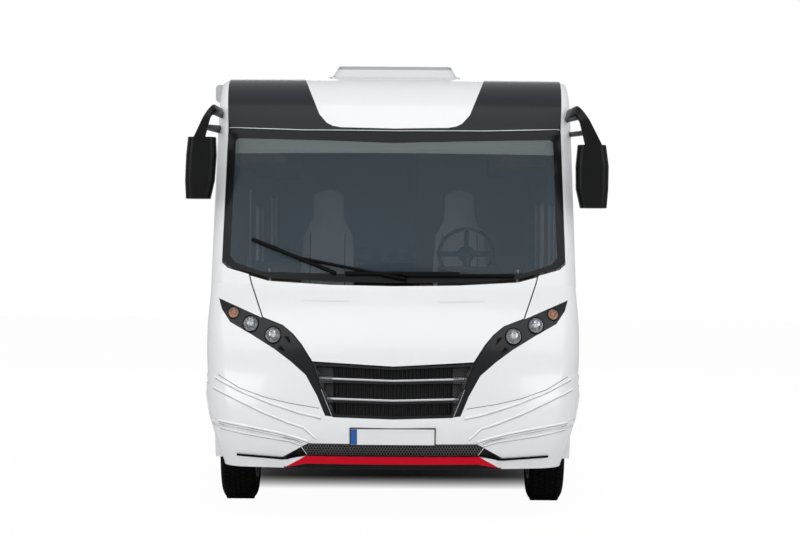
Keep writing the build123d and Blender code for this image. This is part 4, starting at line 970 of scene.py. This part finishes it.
def dome(name, low, high, half_x, half_y, finish):
    """A shallow rounded-square dome that ends just under the top of a fitting's box."""
    middle = (low + high) / 2
    points = [(middle.x, middle.y, high.z - 0.0005)]
    for row in range(1, DOME_ROWS + 1):
        share = row / DOME_ROWS
        z = high.z - 0.0005 - DOME_RISE * share ** 3
        for step in range(DOME_TURN):
            across, length = squared(math.tau * step / DOME_TURN, 0.35)
            points.append((middle.x + across * half_x * share, middle.y + length * half_y * share, z))
    faces = fan_faces(DOME_TURN)
    for row in range(DOME_ROWS - 1):
        for i in range(DOME_TURN):
            a, b = 1 + row * DOME_TURN, 1 + (row + 1) * DOME_TURN
            faces.append((a + i, b + i, b + (i + 1) % DOME_TURN, a + (i + 1) % DOME_TURN))
    return piece(name, plain_mesh(name, points, faces, True), finish)
# The frame is painted greyer than the white gel coat, painted shade that sets it off from the white backdrop.
# Above the frame's top it takes the smoke grey of the dome.
light_moulding = painted("light_moulding", (0.66, 0.665, 0.67), 0.3, coat_weight=0.2)
FRAME_TOP = 2.921
above_frame = light_moulding.axis(2) > FRAME_TOP
light_moulding.shade(above_frame, (0.66, 0.665, 0.67), (0.34, 0.35, 0.36))
dress(light_moulding, "roof_light")
dome("roof_light_dome", *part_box("roof_light"), 0.372, 0.228, smoke_acrylic)
light_low, light_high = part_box("roof_light")
seal_z = light_low.z + 0.0345
seal_front, seal_rear = light_low.y + 0.026, light_high.y - 0.026
seal_corners = [(-0.43, seal_front), (0.43, seal_front), (0.43, seal_rear), (-0.43, seal_rear)]
seal_run = [(x, y, seal_z) for x, y in seal_corners]
tube("roof_light_seal", seal_run, 0.004, joint_rubber, closed=True)
feet = [(x, light_low.y + 0.03, light_low.z + 0.008) for x in (-0.44, 0.44)]
blocks("roof_light_feet", feet, (0.026, 0.05, 0.015), joint_rubber)
awning_low, awning_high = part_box("awning")
CAP_X = -1.217
CAP_Z = 2.767
CAP_RADIUS = 0.022
CAP_TURN = 20
for cap_name, y in (("front", awning_low.y + 0.003), ("rear", awning_high.y - 0.003)):
    turns = [math.tau * i / CAP_TURN for i in range(CAP_TURN)]
    spots = [(CAP_X + CAP_RADIUS * math.cos(turn), y, CAP_Z + CAP_RADIUS * math.sin(turn)) for turn in turns]
    tube("awning_cap_ring_" + cap_name, spots, 0.0028, smoke_acrylic, closed=True)

# ---------------------------------------------------------------- rear
# Moulded tail lamps with red and amber chambers stand on the rear wall, above a moulded bumper.
tail_red = Finish("tail_red", (0.5, 0.008, 0.012), 0.14, coat_weight=0.6, ior=1.5)
lamp_height = tail_red.axis(2)
AMBER_LOW = 1.06
AMBER_HIGH = 1.16
chambers = (lamp_height > AMBER_LOW) * (lamp_height < AMBER_HIGH)
ribs = tail_red.waves(0.012, "X")
deep_red = tail_red.blend(ribs, (0.42, 0.005, 0.01), (0.58, 0.012, 0.016))
tail_red.shade(chambers, deep_red, (0.85, 0.28, 0.02))
tail_red.bump(ribs, 0.2, 0.001)
dress(tail_red, "rear_lamps")

# ---------------------------------------------------------------- doors, hatches and windows
# Each opening has a black compression seal in its gap, and each handle a keyed barrel lock.
# The hung windows have an aluminium strip along the top for their hinge.
# Name, side, front and rear edge behind the nose, low and high edge; a seal or a lock has the name of its body.
SEALS = [
    ("driver_door", 1, 1.560, 2.260, 0.620, 2.080),
    ("entry_door", -1, 2.750, 3.400, 0.620, 2.450),
    ("garage_door_left", 1, 5.750, 6.500, 0.680, 1.500),
    ("garage_door_right", -1, 5.500, 6.500, 0.680, 1.500),
]
WINDOWS = [
    ("dinette", 1, 2.560, 3.460, 1.450, 2.050),
    ("bath", 1, 4.300, 4.750, 1.750, 2.150),
    ("kitchen", -1, 3.750, 4.650, 1.500, 2.050),
    ("bed_left", 1, 5.600, 6.400, 1.750, 2.200),
    ("bed_right", -1, 5.600, 6.400, 1.750, 2.200),
]
# Name, side, setback and height.
LOCKS = [
    ("driver_door", 1, 2.205, 1.08),
    ("entry_door", -1, 3.345, 1.2),
    ("garage_door_left", 1, 5.8, 0.99),
    ("garage_door_right", -1, 5.55, 0.99),
]
WALL_HALF = 1.165
SEAL_ROUND = 7                # points round a corner
SEAL_GAP = 0.0075


def wall_run(side, out, front, rear, low, high, radius):
    """Points round a rectangle with rounded corners, set out from a side wall."""
    points = []
    for corner, (y, z) in enumerate([(rear, high), (front, high), (front, low), (rear, low)]):
        centre_y = y - radius if y == rear else y + radius
        centre_z = z - radius if z == high else z + radius
        for step in range(SEAL_ROUND):
            angle = math.pi / 2 * (corner + step / (SEAL_ROUND - 1))
            y_round, z_round = centre_y + radius * math.cos(angle), centre_z + radius * math.sin(angle)
            points.append((side * (WALL_HALF + out), NOSE + y_round, z_round))
    return points


for seal_name, side, front, rear, low, high in SEALS:
    points = wall_run(side, -0.03, front + SEAL_GAP, rear - SEAL_GAP, low + SEAL_GAP, high - SEAL_GAP, 0.014)
    tube("seal_" + seal_name, points, 0.0022, joint_rubber, seal_name, closed=True)
for window_name, side, front, rear, low, high in WINDOWS:
    points = wall_run(side, 0.002, front, rear, low, high, 0.06)
    tube("window_rubber_" + window_name, points, 0.0055, joint_rubber, closed=True)
    strip = [(side * (WALL_HALF + 0.005), NOSE + (front + rear) / 2, high + 0.006)]
    blocks("window_hinge_" + window_name, strip, (0.01, rear - front - 0.08, 0.012), anodised)
for lock_name, side, setback, height in LOCKS:
    spot = (side * (WALL_HALF + 0.0035), NOSE + setback, height)
    hex_heads("lock_" + lock_name, [spot], 0.013, 0.009, bright_metal, lock_name)

# ---------------------------------------------------------------- rails, vents and side lamps
# Anodised rails close the wall and roof joints; louvred vents and service flaps are white mouldings.
# Amber marker lamps stand along the skirts, and a third brake lamp high on the rear wall.
RAIL_HALF = 1.163
ROOF_EDGE = 2.827
TAIL = 3.46
RAIL_FRONT = -1.98
SKIRT_TOP = 0.604
SKIRT_HALF = 1.16
for side_name, side in SIDES:
    roof_run = [(side * RAIL_HALF, RAIL_FRONT, ROOF_EDGE), (side * RAIL_HALF, TAIL, ROOF_EDGE)]
    tube("roof_rail_" + side_name, roof_run, 0.008, anodised)
    corner_run = [(side * RAIL_HALF, TAIL - 0.001, 0.77), (side * RAIL_HALF, TAIL - 0.001, ROOF_EDGE)]
    tube("corner_rail_" + side_name, corner_run, 0.0095, anodised)
    foot_run = [(side * (WALL_HALF + 0.0005), y, SKIRT_TOP) for y in (RAIL_FRONT, 3.2)]
    tube("skirt_joint_" + side_name, foot_run, 0.003, joint_rubber)
tail_run = [(-RAIL_HALF, TAIL, ROOF_EDGE), (RAIL_HALF, TAIL, ROOF_EDGE)]
tube("roof_rail_rear", tail_run, 0.008, anodised)
blocks("brake_lamp_high", [(0.0, TAIL + 0.005, 2.62)], (0.36, 0.014, 0.028), tail_red)
marker_amber = Finish("marker_amber", (0.85, 0.3, 0.02), 0.16, coat_weight=0.5, ior=1.5)
marker_amber.bump(marker_amber.waves(0.01, "Y"), 0.2, 0.001)
MARKER_SETBACKS = (1.66, 3.1, 5.75)
markers = [(side * (SKIRT_HALF + 0.003), NOSE + y, 0.53) for side in (-1, 1) for y in MARKER_SETBACKS]
blocks("side_markers", markers, (0.014, 0.1, 0.028), marker_amber)
# Side, front and rear edge behind the nose, low and high edge.
VENTS = [("low", 1, 3.64, 4.1, 0.72, 0.94), ("high", 1, 3.64, 4.1, 1.5, 1.72)]
FLAPS = [("water", -1, 3.78, 3.94, 0.74, 0.9), ("power", -1, 4.02, 4.18, 0.74, 0.9)]
LOUVRE_PITCH = 0.022
LOUVRE_TILT = (0.0, 0.5, 0.0)
LOUVRE_FOOT = 0.03
slats = []
for vent_name, side, front, rear, low, high in VENTS:
    rim = wall_run(side, 0.002, front, rear, low, high, 0.025)
    tube("vent_rim_" + vent_name, rim, 0.007, gel_coat, closed=True)
    for row in range(int((high - low - LOUVRE_FOOT) / LOUVRE_PITCH)):
        height = low + LOUVRE_FOOT + row * LOUVRE_PITCH
        slats.append((side * (WALL_HALF + 0.003), NOSE + (front + rear) / 2, height))
blocks("vent_slats", slats, (0.012, 0.42, 0.007), gel_coat, LOUVRE_TILT)
for flap_name, side, front, rear, low, high in FLAPS:
    rim = wall_run(side, 0.001, front, rear, low, high, 0.02)
    tube("flap_rim_" + flap_name, rim, 0.003, joint_rubber, closed=True)
    lid = [(side * (WALL_HALF + 0.003), NOSE + (front + rear) / 2, (low + high) / 2)]
    blocks("flap_" + flap_name, lid, (0.012, 0.144, 0.144), gel_coat)

# ---------------------------------------------------------------- inside the cab
# Soft-grained dashboard, leather-covered steering wheel and a pleated blind under the roof.
dash_grain = painted("dash_grain", (0.035, 0.037, 0.04), 0.6)
dash_grain.grain(0.35, 0.0012, 700.0, 2.0)
leather_black = painted("leather_black", (0.02, 0.02, 0.021), 0.5)
leather_black.grain(0.3, 0.001, 520.0, 4.0)
base_paint = painted("base_paint", (0.05, 0.052, 0.055), 0.5)
blind_cloth = painted("blind_cloth", (0.5, 0.51, 0.52), 0.85)
blind_cloth.bump(blind_cloth.waves(0.02, "Z"), 0.5, 0.006)
bulkhead_mat = painted("bulkhead_mat", (0.05, 0.05, 0.052), 0.8)
dress(dash_grain, "dashboard")
dress(base_paint, "seat_bases")
dress(leather_black, "steering_wheel")
dress(blind_cloth, "screen_blind")
dress(bulkhead_mat, "bulkhead", "wheel_housings")

# ---------------------------------------------------------------- inside the living area
# Laminate boards with a fine grain along their length, and a floor covering with a plank pattern.
wood_laminate = Finish("wood_laminate", (0.5, 0.36, 0.22), 0.45)
board_grain = wood_laminate.noise(6.0, 6.0, (6.0, 1.0, 30.0))
wood_laminate.shade(board_grain, (0.3, 0.19, 0.1), (0.58, 0.43, 0.28))
wood_laminate.set("Roughness", 0.38 + board_grain * 0.16)
plank_floor = Finish("plank_floor", (0.35, 0.3, 0.25), 0.5)
plank_grain = plank_floor.noise(5.0, 6.0, (30.0, 2.0, 1.0))
plank_joints = plank_floor.waves(0.15, "X", "SAW").math("POWER", plank_floor.waves(0.15, "X", "SAW"), 40.0)
plank_shade = plank_floor.blend(plank_grain, (0.22, 0.18, 0.14), (0.46, 0.4, 0.33))
plank_floor.shade(plank_joints, plank_shade, (0.05, 0.04, 0.03))
dress(wood_laminate, "furniture", "rear_bed")
dress(plank_floor, "floor")

# ---------------------------------------------------------------- hangers and brackets
# Galvanised strap hangers carry the three tanks under the floor.
# Folded brackets hold the dashboard and the blind.
# Left and right side, front and rear of each tank; all lie between the same two heights.
TANKS = [(0.54, 1.08, -0.495, 0.105), (-0.4, 0.4, -0.995, -0.295), (-0.4, 0.4, -1.795, -1.295)]
TANK_FOOT = 0.37
FLOOR_UNDER = 0.622
STRAP_INSET = 0.12
STRAP_THICK = 0.004
STRAP_WIDE = 0.03
bands = {540: [], 800: []}    # by the width of the tank in millimetres
hangers = []
for x0, x1, y0, y1 in TANKS:
    for y in (y0 + STRAP_INSET, y1 - STRAP_INSET):
        bands[round((x1 - x0) * 1000)].append(((x0 + x1) / 2, y, TANK_FOOT - STRAP_THICK / 2))
        hangers += [(x, y, (TANK_FOOT + FLOOR_UNDER) / 2) for x in (x0 - STRAP_THICK / 2, x1 + STRAP_THICK / 2)]
hanger_size = (STRAP_THICK, STRAP_WIDE, FLOOR_UNDER - TANK_FOOT + STRAP_THICK)
blocks("tank_hangers", hangers, hanger_size, coated_steel)
for width, spots in bands.items():
    band_size = (width / 1000 + 2 * STRAP_THICK, STRAP_WIDE, STRAP_THICK)
    blocks(f"tank_bands_{width}", spots, band_size, coated_steel)
# Distance from the middle, place along, height and size of each pair of brackets.
BRACKETS = {
    "blind_brackets": (1.06, -2.515, 2.365, (0.13, 0.024, 0.05)),
    "dashboard_brackets": (1.1, -2.3, 1.45, (0.09, 0.06, 0.05)),
}
for bracket_name, (x, y, z, size) in BRACKETS.items():
    blocks(bracket_name, [(-x, y, z), (x, y, z)], size, base_paint)

# ---------------------------------------------------------------- seats, bench and mattress
# Foam cushions under a sewn woven cover, piped along their edges, on the swivel bases and the bench box.
# The mattress is one quilted pad. All of them are stuffed together by one short cloth simulation.
seat_cloth = Finish("seat_cloth", (0.8, 0.8, 0.8), 0.9, sheen_weight=0.25, sheen_roughness=0.4)
weave = seat_cloth.waves(0.0045, "X") * 0.5 + seat_cloth.waves(0.0045, "Z") * 0.3
weave += seat_cloth.waves(0.0045, "Y") * 0.2
seat_cloth.shade(weave, (0.66, 0.66, 0.67), (0.86, 0.86, 0.85))
seat_cloth.bump(weave + seat_cloth.noise(14.0) * 0.8, 0.35, 0.002)
ticking = Finish("ticking", (0.75, 0.74, 0.71), 0.9, sheen_weight=0.2)
quilting = ticking.waves(0.16, "X") * ticking.waves(0.16, "Y")
ticking.shade(quilting, (0.62, 0.6, 0.57), (0.78, 0.77, 0.74))
ticking.bump(quilting + ticking.noise(160.0) * 0.1, 0.6, 0.006)
piping_cloth = painted("piping_cloth", (0.2, 0.2, 0.21), 0.8)
SEAT_X = 0.48
SHRINK = 0.014                # a form starts this much inside the space that its pad fills
SWELL = 0.022                 # and no point moves further than this
SETTLE_FRAMES = 20
PRESSURE = 4.0
BLOCK_CUTS = 16
BLOCK_POWER = 7.0
PIPING_TURN = 48


def pillow(name, low, high, pinch=0.03, dish=0.0):
    """A rounded block whose sides pull in between its corners, with its top dished if asked."""
    work = bmesh.new()
    bmesh.ops.create_cube(work, size=2.0)
    bmesh.ops.subdivide_edges(work, edges=work.edges[:], cuts=BLOCK_CUTS, use_grid_fill=True)
    middle = (Vector(low) + Vector(high)) / 2
    half = (Vector(high) - Vector(low)) / 2 - Vector((SHRINK, SHRINK, SHRINK))
    for vertex in work.verts:
        x, y, z = vertex.co
        length = (abs(x) ** BLOCK_POWER + abs(y) ** BLOCK_POWER + abs(z) ** BLOCK_POWER) ** (1 / BLOCK_POWER)
        x, y, z = (value / length for value in (x, y, z))
        waist_x = 1.0 - pinch * (1.0 - y * y)
        waist_y = 1.0 - pinch * (1.0 - x * x)
        sunk = dish * (1.0 - x * x) * (1.0 - y * y) if z > 0.5 else 0.0
        vertex.co = middle + Vector((x * waist_x * half.x, y * waist_y * half.y, z * half.z - sunk))
    mesh = bpy.data.meshes.new(name)
    work.to_mesh(mesh)
    work.free()
    return mesh


# Height, width and depth of a seat back, which leans back as it rises.
BACK_SECTIONS = [(1.18, 0.40, 0.12), (1.48, 0.47, 0.13), (1.78, 0.43, 0.11)]
BACK_SECTIONS += [(1.90, 0.30, 0.10), (2.15, 0.25, 0.09)]
BACK_FOOT = 2.030
BACK_LEAN = 0.2
BACK_RINGS = 40
BACK_TURN = 40


def seat_back(name, middle_x):
    """A closed form through the back's sections, dished between its side bolsters."""
    points = []
    foot, head = BACK_SECTIONS[0][0] + SHRINK, BACK_SECTIONS[-1][0] - SHRINK
    for ring in range(BACK_RINGS + 1):
        share = ring / BACK_RINGS
        z = foot + (head - foot) * share
        for (z0, w0, d0), (z1, w1, d1) in zip(BACK_SECTIONS, BACK_SECTIONS[1:]):
            if z0 <= z <= z1:
                part = (z - z0) / (z1 - z0)
                width, depth = w0 + (w1 - w0) * part, d0 + (d1 - d0) * part
        end = min(share, 1.0 - share) / 0.07
        rounding = math.sqrt(max(0.02, 1.0 - (1.0 - min(end, 1.0)) ** 2))
        half_x = (width / 2 - SHRINK) * rounding
        half_y = (depth / 2 - SHRINK) * rounding
        middle_y = NOSE + BACK_FOOT + (z - BACK_SECTIONS[0][0]) * BACK_LEAN
        for step in range(BACK_TURN):
            across, out = squared(math.tau * step / BACK_TURN, 0.5)
            dish = 0.014 * max(0.0, 1.0 - (across / 0.7) ** 2) if out < 0 and z < 1.8 else 0.0
            points.append((middle_x + across * half_x, middle_y + out * half_y + dish, z))
    faces = ring_faces(BACK_RINGS + 1, BACK_TURN)
    faces.append(tuple(range(BACK_TURN)))
    faces.append(tuple(range(BACK_RINGS * BACK_TURN, (BACK_RINGS + 1) * BACK_TURN)))
    return plain_mesh(name, points, faces)


SEAT_SPACE = ((SEAT_X - 0.24, NOSE + 1.59, 1.01), (SEAT_X + 0.24, NOSE + 2.09, 1.18))
bench_low, bench_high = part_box("bench_cushions")
BENCH_SEAT_TOP = 1.17
BENCH_BACK_X = bench_high.x - 0.112
bed_low, bed_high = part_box("mattress")
# Name, form, voxel size, finish and the box that it stays in.
PADS = [
    ("seat_cushion", pillow("seat_cushion", *SEAT_SPACE, dish=0.012), 0.012, seat_cloth, SEAT_SPACE),
    ("seat_back", seat_back("seat_back", SEAT_X), 0.012, seat_cloth, None),
]
for pad_name, pad_low, pad_high, voxel in (
    ("bench_seat", bench_low, (bench_high.x, bench_high.y, BENCH_SEAT_TOP), 0.014),
    ("bench_back", (BENCH_BACK_X, bench_low.y, BENCH_SEAT_TOP + 0.002), bench_high, 0.014),
    ("bed_pad", bed_low, bed_high, 0.018),
):
    cover = ticking if pad_name == "bed_pad" else seat_cloth
    PADS.append((pad_name, pillow(pad_name, pad_low, pad_high, 0.012), voxel, cover, (pad_low, pad_high)))

stuffing = []
for pad_name, form, voxel, cover, space in PADS:
    pad = bpy.data.objects.new(pad_name + "_form", form)
    scene.collection.objects.link(pad)
    remesh = pad.modifiers.new("remesh", "REMESH")
    remesh.mode = "VOXEL"
    remesh.voxel_size = voxel
    pad.data = finished_mesh(pad)
    cloth = pad.modifiers.new("cloth", "CLOTH")
    cloth.settings.use_pressure = True
    cloth.settings.uniform_pressure_force = PRESSURE
    cloth.settings.effector_weights.gravity = 0.0
    cloth.settings.quality = 4
    cloth.point_cache.frame_end = SETTLE_FRAMES
    stuffing.append(pad)
for step in range(1, SETTLE_FRAMES + 1):
    scene.frame_set(step)

seat_parts = []
for pad, (pad_name, form, voxel, cover, space) in zip(stuffing, PADS):
    rest = [vertex.co.copy() for vertex in pad.data.vertices]
    mesh = finished_mesh(pad)
    bpy.data.objects.remove(pad)
    for vertex, start in zip(mesh.vertices, rest):
        move = vertex.co - start
        if move.length > SWELL:
            vertex.co = start + move * (SWELL / move.length)
        if space:
            vertex.co.z = max(vertex.co.z, space[0][2] + 0.0005)
            for axis in range(3):
                vertex.co[axis] = min(max(vertex.co[axis], space[0][axis]), space[1][axis])
    mesh.polygons.foreach_set("use_smooth", [True] * len(mesh.polygons))
    mesh.materials.clear()
    mesh.materials.append(cover.material)
    seat_parts.append(mesh)
scene.frame_set(1)


def pad_piece(name, mesh, node):
    """A stuffed piece that stands for a CAD node, with one subdivision."""
    mesh.name = name
    made = piece(name, mesh, seat_cloth)
    smoother = made.modifiers.new("smooth", "SUBSURF")
    smoother.levels = smoother.render_levels = 1
    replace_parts(made, node)
    return made


def other_side(mesh, name):
    """The mesh mirrored to the other side, still facing outwards."""
    copy = mesh.copy()
    copy.name = name
    for vertex in copy.vertices:
        vertex.co.x = -vertex.co.x
    copy.flip_normals()
    return copy


def seam(name, mesh, starts, aim, closed):
    """Piping laid where rays from the starts, cast along aim, meet a pad."""
    pad_skin = BVHTree.FromPolygons(
        [v.co.copy() for v in mesh.vertices], [tuple(p.vertices) for p in mesh.polygons]
    )
    laid = []
    for start in starts:
        way = aim(start)
        point, normal, index, distance = pad_skin.ray_cast(start, way)
        if point:
            laid.append(point - way * 0.001)
    return tube(name, laid, 0.0032, piping_cloth, closed=closed)


for side_name, mirror_it in (("left", False), ("right", True)):
    for part_mesh, part_name in zip(seat_parts[:2], ("cab_cushion", "cab_back")):
        name = f"{part_name}_{side_name}"
        placed = other_side(part_mesh, name) if mirror_it else part_mesh.copy()
        pad_piece(name, placed, "cab_seats")
        middle_x = -SEAT_X if mirror_it else SEAT_X
        if part_name == "cab_cushion":
            centre = Vector((middle_x, NOSE + 1.84, 1.135))
            turns = [math.tau * i / PIPING_TURN for i in range(PIPING_TURN)]
            starts = [centre + Vector((math.cos(turn), math.sin(turn), 0.0)) for turn in turns]
            seam("piping_" + name, placed, starts, lambda start: (centre - start).normalized(), True)
        else:
            for edge_name, x in (("inner", -0.125), ("outer", 0.125)):
                starts = [Vector((middle_x + x, NOSE + 1.4, 1.24 + 0.025 * i)) for i in range(23)]
                seam(f"seam_{edge_name}_{name}", placed, starts, lambda start: Vector((0.0, 1.0, 0.0)), False)
LYING_PADS = [("bench_seat_pad", "bench_cushions"), ("bench_back_pad", "bench_cushions")]
LYING_PADS += [("bed_pad", "mattress")]
for part_mesh, (part_name, node) in zip(seat_parts[2:], LYING_PADS):
    pad_piece(part_name, part_mesh, node)
